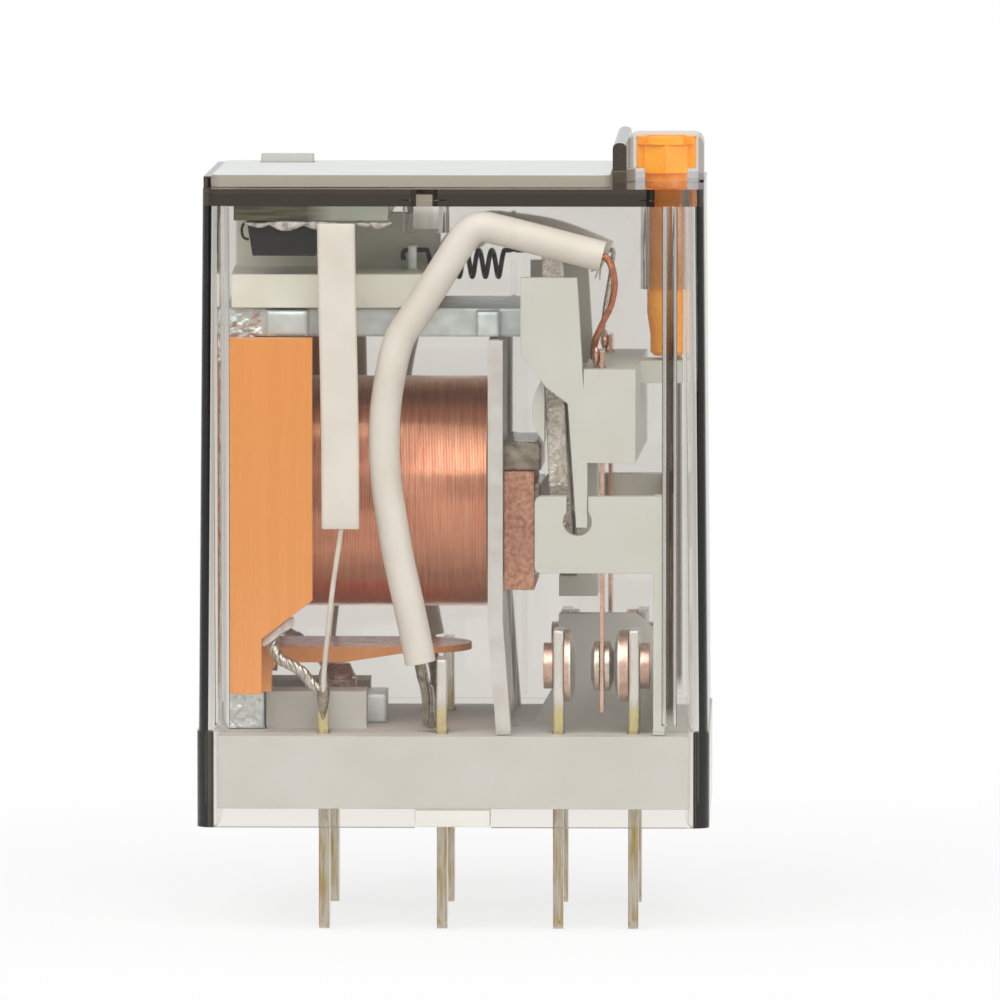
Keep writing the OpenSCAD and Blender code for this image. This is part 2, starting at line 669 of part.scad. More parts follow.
// Contact rivets: a slightly domed head and a tail behind the blade, on a shank
module domed_head(r, t) {
    dome = 0.2;
    rotate([0, 90, 0]) rotate_extrude()
        polygon([[0, 0], [r, 0], [r, t - dome], [0.6 * r, t], [0, t]]);
}
module fixed_contact(x, side, facing, head_t) {
    color([0.75, 0.48, 0.36]) translate([x, side * pin_row, contact_z]) {
        rod_x(-pin_t / 2 - 2 * fit, pin_t / 2 + 2 * fit, 0, 0, shank_r);
        mirror([facing < 0 ? 1 : 0, 0, 0]) {
            translate([pin_t / 2 + fit, 0, 0]) domed_head(fixed_head_r, head_t - fit);
            rod_x(-pin_t / 2 - fit - rivet_tail_t, -pin_t / 2 - fit, 0, 0, rivet_tail_r);
        }
    }
}
module moving_contact(side) {
    color([0.8, 0.7, 0.62]) translate([0, side * pin_row, contact_z]) {
        rod_x(leaf_x0 - 2 * fit, leaf_x1 + 2 * fit, 0, 0, shank_r - 0.1);
        translate([leaf_x1 + fit, 0, 0]) domed_head(moving_head_r, moving_head_t - fit);
        translate([leaf_x0 - fit, 0, 0]) mirror([1, 0, 0]) domed_head(moving_head_r, moving_head_t - fit);
    }
}
module leaf_spring(side) {
    y = side * pin_row;
    color([0.8, 0.55, 0.4]) difference() {
        block(leaf_x0, leaf_x1, y - leaf_w / 2, y + leaf_w / 2, leaf_z0, leaf_z1);
        rod_x(leaf_x0 - 1, leaf_x1 + 1, y, contact_z, shank_r - 0.1 + fit);
    }
}

// Grey carrier: side plates with stems, the cross beam, the arm under the button and the nose
module carrier() {
    plate_x0 = beam_x0 - 3.4;
    nose_z0 = (armature_z0 + partition_z1) / 2 - 0.55;
    lobe_w = 0.66;
    lobe_h = 3.6;
    lobe_r = (lobe_h * lobe_h / 4 + lobe_w * lobe_w) / (2 * lobe_w);
    lobe_a = asin(lobe_h / 2 / lobe_r);
    lobe_x1 = plate_x0 + 1.27;
    lobe_z = pivot_z - 4.6;
    color([0.82, 0.82, 0.78]) difference() {
        union() {
            front_and_rear() {
                slab([[plate_x0, pivot_z + 2.6], [beam_x0 - 0.35, pivot_z + 2.6],
                    [beam_x0 + 0.2, beam_z0 + 0.5],
                    [tip_x0 + tip_w, notch_z], [tip_x0 + tip_w, tip_z], [tip_x0, tip_z], [tip_x0, notch_z],
                    [beam_x0 - 0.85, pivot_z - 4.2], [plate_x0 + 1.36, pivot_z - 3.3],
                    [plate_x0, pivot_z - 1.5]], plate_y0, plate_y1);
                slab(concat(arc(lobe_x1 - lobe_w + lobe_r, lobe_z, lobe_r, 180 - lobe_a, 180 + lobe_a, 10)),
                    armature_y + 0.3, plate_y0 + sink);
            }
            block(beam_x0, beam_x1, -plate_y1, plate_y1, beam_z0, beam_z1);
            opened() for (y = [-3.2, 3.2])
                block(armature_x1 + fit, beam_x0 + 0.4, y - 1, y + 1, beam_z0 + 0.8, beam_z1 - 0.6);
            block(beam_x1 - sink, arm_x1, -1.6, 1.6, arm_z0, arm_z1);
            block(beam_x0 - 0.6, beam_x0 + 0.5, -1.8, 1.8, nose_z0, beam_z0 + sink);
            block(beam_x0 - 1.55, beam_x0 + 0.5, -1.8, 1.8, nose_z0, nose_z0 + 1.1);
        }
        for (y = [-pin_row, pin_row])
            block(leaf_x0 - fit, leaf_x1 + fit, y - leaf_w / 2 - fit, y + leaf_w / 2 + fit,
                beam_z0 - 1, beam_z1 + 1);
    }
}

// Steel armature with the tail that the spring hooks on
module armature() {
    color([0.72, 0.7, 0.66]) opened() difference() {
        union() {
            block(armature_x0, armature_x1, -armature_y, armature_y, armature_step_z, pivot_z + 1.2);
            block(armature_x0, armature_x1, -armature_y + 0.9, armature_y - 0.9,
                armature_z0, armature_step_z + sink);
            block(armature_x0, armature_x1, -tail_y, tail_y, pivot_z + 1, tail_top);
        }
        block(armature_x0 - 1, armature_x1 + 1, -spring_wire / 2 - hook_room, spring_wire / 2 + hook_room,
            hook_z - spring_wire / 2 - hook_room, tail_top + 1);
    }
}

// Black return spring from the yoke's post to the armature's tail, one unbroken wire
function spring_path() = let (left = post_x0 - hook_room - spring_wire / 2,
        right = tail_rest_x1 + hook_room + spring_wire / 2, rings = 8 * spring_turns) concat(
    [[left, 0, hook_z - hook_drop], [left, 0, hook_z - 0.15], [left + 0.15, 0, hook_z], [post_x1, 0, hook_z]],
    [for (i = [0 : rings]) let (a = 360 * i / 8)
        [spring_x0 + spring_pitch * i / 8, spring_r * sin(a), spring_z + spring_r * cos(a)]],
    [[spring_x1 + 0.5, 0, hook_z], [right - 0.15, 0, hook_z], [right, 0, hook_z - 0.15],
        [right, 0, hook_z - hook_drop]]);
echo(spring_least_gap = least_gap(spring_path(), spring_wire, 6));
module return_spring() {
    color([0.1, 0.1, 0.1]) tube(spring_path(), spring_wire, 6);
}

// Zinc-plated yoke: bar with a round nose, leg, foot, side lugs and the spring's post
module yoke() {
    color([0.78, 0.8, 0.8]) difference() {
        union() {
            block(leg_x0, pivot_x, -yoke_y, yoke_y, bar_z0, bar_z1);
            translate([pivot_x, yoke_y, pivot_z]) rotate([90, 0, 0]) cylinder(r = nose_r, h = 2 * yoke_y);
            block(leg_x0, leg_x1, -yoke_y, yoke_y, base_top + fit, bar_z0 + sink);
            block(leg_x0, foot_x1, -foot_y, foot_y, base_top + fit, base_top + fit + yoke_t);
            block(post_x0, post_x1, -0.9, 0.9, bar_z1 - sink, tail_top);
            front_and_rear() {
                block(leg_x1 - sink, foot_pad_x1, yoke_y - 2.2, yoke_y, base_top + fit, base_top + 2.1);
                for (span = lug_spans)
                    block(span[0], span[1], yoke_y - sink, lug_y, bar_z0 + lug_step, bar_z1 - lug_step);
            }
        }
        rod_x(leg_x0 - 1, leg_x1 + 1, 0, axis_z, core_r + fit);
        translate([rivet_x, 0, base_top - 1]) cylinder(r = rivet_r + fit, h = yoke_t + 2);
        block(post_x0 - 1, post_x1 + 1, -spring_wire / 2 - hook_room, spring_wire / 2 + hook_room,
            hook_z - spring_wire / 2 - hook_room, tail_top + 1);
    }
}
module foot_rivet() {
    washer_z = base_top + 2 * fit + yoke_t;
    washer_r = 0.95;
    washer_t = 0.65;
    neck_r = 0.72;
    neck_h = 0.15;
    head_z = washer_z + washer_t + neck_h;
    head_h = 0.65;
    color([0.5, 0.4, 0.33]) translate([rivet_x, 0, 0]) {
        translate([0, 0, base_z + fit]) cylinder(r = rivet_r, h = washer_z + sink - base_z - fit);
        translate([0, 0, washer_z]) cylinder(r = washer_r, h = washer_t);
        translate([0, 0, head_z - neck_h - sink]) cylinder(r = neck_r, h = neck_h + 2 * sink);
        translate([0, 0, head_z]) cylinder(r1 = washer_r - sink, r2 = rivet_r + sink, h = head_h);
    }
}

// Core with its slotted pole shoe, and the copper ring around the lower half of the pole
module core() {
    color([0.6, 0.58, 0.52]) difference() {
        union() {
            rod_x(leg_x0, shoe_x0 + sink, 0, axis_z, core_r);
            slab(rounded_box(shoe_x0, shoe_z0, pole_x, pole_top, 0.3), -shoe_y, shoe_y);
        }
        block(shoe_x0 + 0.1, pole_x + 1, -shoe_y - 1, shoe_y + 1, slot_z0, slot_z1);
    }
}
module shading_ring() {
    inner_z0 = shoe_z0 - fit;
    outer_z1 = slot_z0 + fit + ring_t;
    color([0.72, 0.42, 0.3]) difference() {
        block(shoe_x0 + 0.15, ring_x1, -shoe_y - fit - ring_t, shoe_y + fit + ring_t,
            inner_z0 - ring_t, outer_z1);
        block(shoe_x0 - 1, ring_x1 + 1, -shoe_y - fit, shoe_y + fit, inner_z0, slot_z0 + fit);
    }
}

// Orange bobbin: tube, left flange, wings in front and behind, tongue under the winding
module bobbin() {
    wing_z1 = bar_z0 + 0.1;
    wing_z0 = base_top + 2.2;
    wing_y0 = rib_y - 0.95;
    wing_y1 = wing_y0 + 0.8;
    tongue_z1 = base_top + 4.3;
    tongue_x1 = common_pin_x + 1.4;
    tongue_y = 3.4;
    tongue_deep = 0.85;
    tongue_thin = 0.36;
    collar_z0 = axis_z - 5.0;
    low_y = wing_y0 - 0.85;
    color([0.95, 0.58, 0.25]) difference() {
        union() {
            rod_x(flange_x0, wall_x0 - fit, 0, axis_z, tube_r);
            block(flange_x0, flange_x1, -wing_y0 - sink, wing_y0 + sink, collar_z0, bar_z0 - fit);
            block(flange_x0, flange_x1, -low_y, low_y, tongue_z1 - tongue_deep, collar_z0 + sink);
            intersection() {
                slab([[flange_x1 - sink, tongue_z1 - tongue_deep], [rivet_x + 0.3, tongue_z1 - tongue_deep],
                    [rivet_x + 3.4, tongue_z1 - tongue_thin], [tongue_x1, tongue_z1 - tongue_thin],
                    [tongue_x1, tongue_z1], [flange_x1 - sink, tongue_z1]], -tongue_y, tongue_y);
                union() {
                    block(flange_x1 - 1, tongue_x1 - tongue_y, -tongue_y, tongue_y, 0, axis_z);
                    translate([tongue_x1 - tongue_y, 0, 0]) cylinder(r = tongue_y, h = axis_z);
                }
            }
            front_and_rear()
                block(flange_x0 + 0.2, flange_x1 - 0.15, low_y - 1.9, low_y, wing_z0, tongue_z1);
            front_and_rear()
                slab([[wing_x0, wing_z1], [wing_x1, wing_z1], [wing_x1, wing_z0 + 5.1],
                    [wing_x0 + 1.75, wing_z0 + 3], [wing_x0 + 1.75, wing_z0],
                    [wing_x0, wing_z0]], wing_y0, wing_y1);
        }
        rod_x(flange_x0 - 1, wall_x0 + 1, 0, axis_z, core_r + fit);
    }
}

// Copper winding: plain inner layers under one outer layer that winds
winding_x0 = flange_x1 + fit;
winding_x1 = wall_x0 - fit;
turn_r = winding_r - winding_wire / 2;
inner_layers_r = turn_r * cos(7.5) - winding_wire / 2 - fit;
turn_pitch = (winding_x1 - winding_x0 - winding_wire - 2 * fit) / winding_turns_n;
function winding_path() = let (start = winding_x0 + fit + winding_wire / 2) [
    for (i = [0 : 24 * winding_turns_n]) let (a = 360 * i / 24)
        [start + turn_pitch * i / 24, turn_r * sin(a), axis_z + turn_r * cos(a)]
];
echo(winding_least_gap = least_gap(winding_path(), winding_wire, 12));
module winding_body() {
    color([0.72, 0.38, 0.25]) difference() {
        rod_x(winding_x0, winding_x1, 0, axis_z, inner_layers_r);
        rod_x(winding_x0 - 1, winding_x1 + 1, 0, axis_z, tube_r + fit);
    }
}
module winding_turns() {
    color([0.75, 0.42, 0.28]) tube(winding_path(), winding_wire, 6);
}

// Pale insulating wall that closes the right end of the winding and stands on the base
module insulating_wall() {
    wall_top = bar_z0 - fit;
    knee_z = axis_z - winding_r;
    spread = 0.45;
    edge_x1 = wall_x1 + 0.25;
    edge_y0 = plate_y1 - 1.2;
    color([0.86, 0.86, 0.84]) {
        difference() {
            slab([[wall_x0, wall_top], [wall_x1, wall_top], [wall_x1, knee_z],
                [wall_x1 + spread, base_top + fit], [wall_x0 + spread, base_top + fit], [wall_x0, knee_z]],
                -plate_y1, plate_y1);
            rod_x(wall_x0 - 1, wall_x1 + 1, 0, axis_z, core_r + fit);
        }
        front_and_rear() slab([[wall_x0, wall_top], [edge_x1, wall_top], [edge_x1, knee_z],
            [edge_x1 + spread, base_top + fit], [wall_x0 + spread, base_top + fit], [wall_x0, knee_z]],
            edge_y0, plate_y1);
    }
}

// Flexible leads and the wires of the coil and the module
module lead(side) {
    color([0.9, 0.88, 0.84]) tube(in_room(lead_route, side), lead_d, 8);
}
module lead_tail(side) {
    color([0.7, 0.66, 0.6]) tube(in_room(tail_route, side), tail_d, 8);
}
module pigtail(side) {
    color([0.8, 0.5, 0.35]) tube(along_wall(pigtail_route, side, pivot_z, 1), strand_d, 8);
}
module module_wire(side) {
    color([0.8, 0.79, 0.76]) tube(in_room(module_wire_route, side), wire_d, 8);
}
module coil_lead(side) {
    color([0.72, 0.7, 0.68]) tube(in_room(coil_lead_route, side), coil_lead_d, 8);
}

// Indicator module: board under the ceiling, its parts, the cream bracket and the flat sleeves
module module_board() {
    color([0.42, 0.43, 0.25]) difference() {
        block(board_x0, board_x0 + board_l, -board_w / 2, board_w / 2, board_z0, board_z1);
        block(lens_x - 1, lens_x + 1, lens_y - 0.6, lens_y + 0.6, board_z0 - 1, board_z1 + 1);
    }
}
module module_led() {
    color([0.7, 0.85, 0.6]) {
        block(lens_x - 0.9, lens_x + 0.9, lens_y - 0.5, lens_y + 0.5, board_z0 - 0.3, board_z1 - 0.1);
    }
}
module module_diode() {
    diode_x0 = board_x0 + 0.7;
    diode_y0 = 0.8 - board_w / 2;
    color([0.15, 0.16, 0.17])
        slab([[diode_x0 + 0.3, board_z0 - diode_h], [diode_x0 + diode_l, board_z0 - diode_h],
            [diode_x0 + diode_l, board_z0 - 0.1], [diode_x0, board_z0 - 0.1]], diode_y0, diode_y0 + diode_w);
}
module module_bracket() {
    shelf_z1 = shelf_z0 + shelf_t;
    back_y = 1.55;
    color([0.92, 0.9, 0.83]) {
        block(leg_x0 + 0.3, post_x0 - 0.4, -shelf_y, shelf_y, shelf_z0, shelf_z1);
        block(leg_x0 + 0.4, back_wall_x1, back_y, back_y + 0.8, shelf_z1 - sink, board_z0 - fit);
        front_and_rear() slab([[post_x0 - 0.5, shelf_z0], [shelf_x1, shelf_z0 + 0.35],
            [shelf_x1, shelf_z1], [post_x0 - 0.5, shelf_z1]], 1.3, shelf_y);
    }
}
module module_sleeve(side) {
    color([0.92, 0.9, 0.85]) translate([sleeve_x, side * (sleeve_y0 + sleeve_t / 2), 0])
        plan(rounded_box(-sleeve_w / 2, -sleeve_t / 2, sleeve_w / 2, sleeve_t / 2, sleeve_t / 2 - 0.05),
            sleeve_z0, sleeve_z1);
}

base();
contact_frame();
cover();
label_plate();
indicator_lens();
button_stem();
button_knob();
plain_blade(coil_pin_x, FRONT, coil_pin_h);  // coil_pin_front
plain_blade(coil_pin_x, REAR, coil_pin_h);  // coil_pin_rear
plain_blade(common_pin_x, FRONT, common_pin_h);  // common_pin_front
plain_blade(common_pin_x, REAR, common_pin_h);  // common_pin_rear
contact_blade(no_pin_x, FRONT);  // no_pin_front
contact_blade(no_pin_x, REAR);  // no_pin_rear
contact_blade(nc_pin_x, FRONT);  // nc_pin_front
contact_blade(nc_pin_x, REAR);  // nc_pin_rear
fixed_contact(no_pin_x, FRONT, 1, no_head_t);  // no_contact_front
fixed_contact(no_pin_x, REAR, 1, no_head_t);  // no_contact_rear
fixed_contact(nc_pin_x, FRONT, -1, nc_head_t);  // nc_contact_front
fixed_contact(nc_pin_x, REAR, -1, nc_head_t);  // nc_contact_rear
moving_contact(FRONT);  // moving_contact_front
moving_contact(REAR);  // moving_contact_rear
leaf_spring(FRONT);  // leaf_spring_front
leaf_spring(REAR);  // leaf_spring_rear
carrier();
armature();
return_spring();
yoke();
foot_rivet();
core();
shading_ring();
bobbin();
winding_body();
winding_turns();
insulating_wall();
lead(FRONT);  // lead_front
lead(REAR);  // lead_rear
lead_tail(FRONT);  // lead_tail_front
lead_tail(REAR);  // lead_tail_rear
pigtail(FRONT);  // pigtail_front
pigtail(REAR);  // pigtail_rear
module_board();
module_led();
module_diode();
module_bracket();
module_sleeve(FRONT);  // module_sleeve_front
module_sleeve(REAR);  // module_sleeve_rear
module_wire(FRONT);  // module_wire_front
module_wire(REAR);  // module_wire_rear
coil_lead(FRONT);  // coil_lead_front
coil_lead(REAR);  // coil_lead_rear
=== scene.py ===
# %% [markdown]
# # A plug-in relay in a clear case
# A relay is a switch worked by a magnet. A coil pulls a steel armature, the armature swings a grey
# carrier, and the carrier moves two copper leaf springs from one fixed contact to another. A clear
# case covers it all, with an orange test button and a small lens on top and eight blades below.
# The solids come from the CAD frame. This lesson gives them their finishes, and makes again the
# pieces that a solid can only hint at: the winding, the spring, the leads and the soldered joints.

# %% Load the frame
import math

import bmesh
import bpy
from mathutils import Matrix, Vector, noise


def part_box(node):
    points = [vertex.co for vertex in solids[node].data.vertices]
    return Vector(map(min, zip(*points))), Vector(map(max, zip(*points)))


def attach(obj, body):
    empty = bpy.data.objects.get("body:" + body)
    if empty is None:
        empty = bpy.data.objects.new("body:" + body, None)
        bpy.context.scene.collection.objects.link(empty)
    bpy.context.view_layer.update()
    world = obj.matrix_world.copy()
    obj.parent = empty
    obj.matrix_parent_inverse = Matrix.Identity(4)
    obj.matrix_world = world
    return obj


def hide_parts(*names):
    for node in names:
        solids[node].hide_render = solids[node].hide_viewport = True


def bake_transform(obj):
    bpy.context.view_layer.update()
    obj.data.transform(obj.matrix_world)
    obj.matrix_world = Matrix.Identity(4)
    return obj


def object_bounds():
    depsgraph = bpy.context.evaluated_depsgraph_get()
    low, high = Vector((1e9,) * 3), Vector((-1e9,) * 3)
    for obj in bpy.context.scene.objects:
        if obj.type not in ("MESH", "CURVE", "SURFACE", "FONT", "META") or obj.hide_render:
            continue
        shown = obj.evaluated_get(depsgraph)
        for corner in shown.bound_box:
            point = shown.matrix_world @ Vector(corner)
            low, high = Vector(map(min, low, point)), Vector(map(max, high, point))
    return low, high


MM = 0.001
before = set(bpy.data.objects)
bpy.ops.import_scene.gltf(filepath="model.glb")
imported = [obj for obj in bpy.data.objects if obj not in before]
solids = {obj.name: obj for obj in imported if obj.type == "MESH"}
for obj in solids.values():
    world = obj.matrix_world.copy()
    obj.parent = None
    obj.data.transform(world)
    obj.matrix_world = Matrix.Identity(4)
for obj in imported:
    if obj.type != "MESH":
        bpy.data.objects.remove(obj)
cad_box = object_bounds()
print("frame:", len(solids), "solids,", [round((b - a) / MM, 2) for a, b in zip(*cad_box)], "mm")

# %% [markdown]
# ## Small helpers
# Colours are written as they look on a screen (sRGB hex), but Blender's shaders count in linear
# light, so one function turns them. Another adds a node to any tree, with its settings and links.
# Finishes could also be clicked together by hand, but a script can be read and run again.

# %% Colour and node helpers
def linear(hex_colour):
    """An sRGB hex colour in linear light, with alpha."""
    shares = [int(hex_colour[i:i + 2], 16) / 255 for i in (1, 3, 5)]
    return tuple(c / 12.92 if c <= 0.04045 else ((c + 0.055) / 1.055) ** 2.4 for c in shares) + (1.0,)


def add(tree, kind, inputs=None, **settings):
    """One node. Inputs go by name or number, each as a value or as another node's output.
    In Map Range, 1 and 2 are the range that goes in, and 3 and 4 the range that comes out.
    In Mix, 0 is the share, 2 and 3 are two numbers, and 6 and 7 are two colours."""
    node = tree.nodes.new(kind)
    for name, value in settings.items():
        setattr(node, name, value)
    for key, value in (inputs or {}).items():
        if isinstance(value, bpy.types.NodeSocket):
            tree.links.new(value, node.inputs[key])
        else:
            node.inputs[key].default_value = value
    return node


def blank_finish(name):
    """A new material with an empty tree, and the place on the piece in metres."""
    material = bpy.data.materials.new(name)
    material.use_nodes = True
    material.node_tree.nodes.clear()
    place = add(material.node_tree, "ShaderNodeTexCoord").outputs["Object"]
    return material, material.node_tree, place


print("grey plastic in linear light:", [round(c, 3) for c in linear("#CFCDC3")])

# %% [markdown]
# ## Moulded plastics
# The base, the carrier and the brackets are glass-filled nylon, the module's bracket is a cream
# polyester, and the label plate is a satin white. Each was moulded in a tool whose walls were
# spark-eroded, so the surface has a grain of about a tenth of a millimetre, and the tint drifts a
# little where the melt flowed. The grain could be cut into the mesh, but it is far too fine for
# that, so noise makes it in the finish. Real edges are never knife-sharp, and a Bevel node rounds
# them in the light.

# %% Tint and glow by height
def by_height(tree, place, stops):
    """A number that follows stops of height in millimetres and value."""
    height = add(tree, "ShaderNodeSeparateXYZ", {0: place}).outputs["Z"]
    total = stops[0][1]
    for (low, start), (high, end) in zip(stops, stops[1:]):
        step = add(tree, "ShaderNodeMapRange",
                   {"Value": height, 1: low * MM, 2: high * MM, 3: 0.0, 4: end - start})
        total = add(tree, "ShaderNodeMath", {0: total, 1: step.outputs[0]}, operation="ADD").outputs[0]
    return total


PLATE_UNDER = 33.9  # underside of the label plate, in millimetres
# Painted glow at the peg, most of it near the top, for the light that reaches it through the white plate
PEG_PAINTED_GLOW = ((31.4, 0.12), (32.6, 0.4), (33.6, 1.3), (33.85, 1.3), (PLATE_UNDER, 0.0))
print("the peg glows from", PEG_PAINTED_GLOW[0][0], "to", PLATE_UNDER, "mm")

# %% Moulded plastic
def moulded(name, tint, deep, roughness, grain=0.08, relief=0.0025, drift=2.6, edge=0.07,
            side_shade=None, sleeve=None, glow=None, **sockets):
    """Moulded plastic with its grain, relief, drift of tint and edge radius in millimetres.
    Side shade is painted shade: a tint for upright faces above a height. Sleeve is painted shade: a darker
    tint and the height where it starts. Glow is a painted glow: a colour and how strong it is by height."""
    material, tree, place = blank_finish(name)
    flow = add(tree, "ShaderNodeTexNoise", {"Vector": place, "Scale": 1 / (drift * MM), "Detail": 4.0})
    share = add(tree, "ShaderNodeMapRange", {"Value": flow.outputs["Fac"], 1: 0.35, 2: 0.65})
    colour = add(tree, "ShaderNodeMix", {0: share.outputs[0], 6: linear(deep), 7: linear(tint)},
                 data_type="RGBA")
    # Painted shade: upright faces above the given height are tinted darker
    if side_shade:
        side_shade_tint, side_shade_low = side_shade
        normal = add(tree, "ShaderNodeNewGeometry").outputs["True Normal"]
        upward = add(tree, "ShaderNodeSeparateXYZ", {0: normal}).outputs["Z"]
        height = add(tree, "ShaderNodeSeparateXYZ", {0: place}).outputs["Z"]
        below = add(tree, "ShaderNodeMath", {0: height, 1: side_shade_low * MM}, operation="LESS_THAN")
        plain = add(tree, "ShaderNodeMath", {0: upward, 1: below.outputs[0]}, operation="MAXIMUM")
        colour = add(tree, "ShaderNodeMix",
                     {0: plain.outputs[0], 6: linear(side_shade_tint), 7: colour.outputs[2]}, data_type="RGBA")
    # Painted shade: above the given height the colour turns to a darker tint
    if sleeve:
        guide_shade_tint, guide_shade_low = sleeve
        guide_shade_share = by_height(tree, place, ((guide_shade_low - 0.2, 0.0), (guide_shade_low + 0.2, 1.0)))
        colour = add(tree, "ShaderNodeMix", {0: guide_shade_share, 6: colour.outputs[2], 7: linear(guide_shade_tint)},
                     data_type="RGBA")
    # Painted glow: emission whose strength follows the height
    if glow:
        sockets = {**sockets, "Emission Color": linear(glow[0]),
                   "Emission Strength": by_height(tree, place, glow[1])}
    pores = add(tree, "ShaderNodeTexNoise", {"Vector": place, "Scale": 1 / (grain * MM), "Detail": 2.0})
    gloss = add(tree, "ShaderNodeMapRange",
                {"Value": pores.outputs["Fac"], 1: 0.3, 2: 0.7, 3: roughness - 0.05, 4: roughness + 0.07})
    round_edge = add(tree, "ShaderNodeBevel", {"Radius": edge * MM}, samples=4)
    bumps = add(tree, "ShaderNodeBump", {"Height": pores.outputs["Fac"], "Strength": 0.35,
                                         "Distance": relief * MM, "Normal": round_edge.outputs[0]})
    shader = add(tree, "ShaderNodeBsdfPrincipled",
                 {"Base Color": colour.outputs[2], "Roughness": gloss.outputs[0],
                  "Normal": bumps.outputs[0], **sockets})
    add(tree, "ShaderNodeOutputMaterial", {"Surface": shader.outputs[0]})
    return material


# Glass-filled nylon: a flat warm grey with a dull, slightly floury skin
grey_nylon = moulded("glass_filled_nylon_grey", "#D1CFC8", "#CBC9C0", 0.55)
print("first plastic:", grey_nylon.name, len(grey_nylon.node_tree.nodes), "nodes")

# %% The other plastics
# The carrier and the brackets come from another batch, a shade greener
green_nylon = moulded("glass_filled_nylon_batch_two", "#CBCBC0", "#C6C6BA", 0.52)
# The same nylon in a thin wall lets some light through, so it looks a little paler and warmer
thin_nylon = moulded("thin_nylon_wall", "#D0CEC7", "#C2BDB6", 0.36, drift=1.2,
                     **{"Subsurface Weight": 0.5, "Subsurface Radius": (0.0012, 0.0011, 0.001),
                        "Subsurface Scale": 1.0})
# Satin white styrene of the label plate: the smoothest plastic, with a soft sheen, painted shade on its
# upright sides and a painted glow at its peg
white_styrene = moulded("satin_white_styrene", "#D3D7D2", "#CDD1CC", 0.38, grain=0.07, relief=0.003,
                        side_shade=("#979183", PLATE_UNDER), glow=("#DCD5CB", PEG_PAINTED_GLOW))
# Cream polyester of the module's bracket: warm and half dull
cream_polyester = moulded("cream_polyester", "#E4E2D2", "#DCD9C9", 0.5)
# Black epoxy moulded round a component: fine and half dull
black_epoxy = moulded("black_moulding_epoxy", "#0B0B0B", "#070707", 0.46, grain=0.06, relief=0.003,
                      **{"Specular IOR Level": 0.3})
print("plastics:", [m.name for m in (green_nylon, thin_nylon, white_styrene, cream_polyester,
                                     black_epoxy)])

# %% [markdown]
# ## The orange bobbin and button
# The bobbin carries the winding, and the button lets a person work the relay by hand. The bobbin's
# wings were filled from the top, and the flow left faint upright streaks. A Wave texture would draw
# them too even, so noise that is stretched along Z draws them. The button is a glossier plastic with
# a fluorescent pigment. It looks brighter than the light on it, so it gets a little emission: a painted
# glow that stands in for the fluorescence.

# %% Orange plastics
def streaked(name, tint, deep, roughness, streak=0.55, length=16.0):
    """Moulded plastic with flow streaks along Z, their width and length in millimetres."""
    material, tree, place = blank_finish(name)
    drawn = add(tree, "ShaderNodeMapping",
                {"Vector": place, "Scale": (1 / (streak * MM), 1 / (streak * MM), 1 / (length * MM))})
    flow = add(tree, "ShaderNodeTexNoise", {"Vector": drawn.outputs[0], "Scale": 1.0, "Detail": 3.0})
    share = add(tree, "ShaderNodeMapRange", {"Value": flow.outputs["Fac"], 1: 0.3, 2: 0.7})
    colour = add(tree, "ShaderNodeMix", {0: share.outputs[0], 6: linear(deep), 7: linear(tint)},
                 data_type="RGBA")
    pores = add(tree, "ShaderNodeTexNoise", {"Vector": place, "Scale": 1 / (0.1 * MM), "Detail": 2.0})
    gloss = add(tree, "ShaderNodeMapRange", {"Value": flow.outputs["Fac"], 1: 0.3, 2: 0.7,
                                             3: roughness - 0.04, 4: roughness + 0.06})
    round_edge = add(tree, "ShaderNodeBevel", {"Radius": 0.08 * MM}, samples=4)
    bumps = add(tree, "ShaderNodeBump", {"Height": pores.outputs["Fac"], "Strength": 0.25,
                                         "Distance": 0.005 * MM, "Normal": round_edge.outputs[0]})
    shader = add(tree, "ShaderNodeBsdfPrincipled",
                 {"Base Color": colour.outputs[2], "Roughness": gloss.outputs[0],
                  "Normal": bumps.outputs[0]})
    add(tree, "ShaderNodeOutputMaterial", {"Surface": shader.outputs[0]})
    return material


GUIDE_LOW = 28.9  # lower end of the button's guide, in millimetres
STEM_PAINTED_GLOW = ((33.3, 0.07), (33.7, 0.3))  # painted glow: weak in the guide, stronger in the open above the case
# Orange polyester: a satin skin with faint upright streaks
orange_polyester = streaked("orange_polyester_bobbin", "#E69648", "#E29043", 0.26)
# Glossy orange polycarbonate: clean highlights, and a painted glow that stands in for its fluorescent
# pigment
orange_gloss = moulded("glossy_orange_polycarbonate", "#FFA81E", "#FB9C12", 0.24, grain=0.3,
                       relief=0.002, edge=0.1,
                       **{"Emission Color": linear("#FFA024"), "Emission Strength": 0.13})
# The stem is the same plastic, with painted shade on its upper half, where the smoky guide takes light away
orange_stem = moulded("glossy_orange_stem", "#F4A440", "#EC9832", 0.24, grain=0.3, relief=0.002,
                      edge=0.1, sleeve=("#E09244", GUIDE_LOW), glow=("#FF8A1C", STEM_PAINTED_GLOW))
print("orange plastics:", orange_polyester.name, orange_gloss.name, orange_stem.name)

# %% [markdown]
# ## The clear case
# The case was moulded from polycarbonate that is faintly smoky: a wall of 0.6 mm takes only a few
# percent of the light, but seen along its edge, through many millimetres, it turns dark brown. A
# tinted surface would be as dark on the face as on the edge, so the colour belongs to the inside, as
# Volume Absorption. Lamps reach the works through the Transparent shader, because light that glass
# bends is slow to find its way to a lamp.

# %% Painted shade in the thick parts of the case
CEILING = 33.5  # top wall's height in millimetres
RIB_HALF = 0.19  # half of the painted dark line in the rib, in millimetres
# The line starts just above the base and fades upwards
RIB_SHADE_BY_HEIGHT = ((5.7, 0.0), (6.5, 1.0), (26.0, 1.0), (33.0, 0.25))
GUIDE_SHARE = 0.24  # how dark the painted shade in the button's guide is, beside the rib
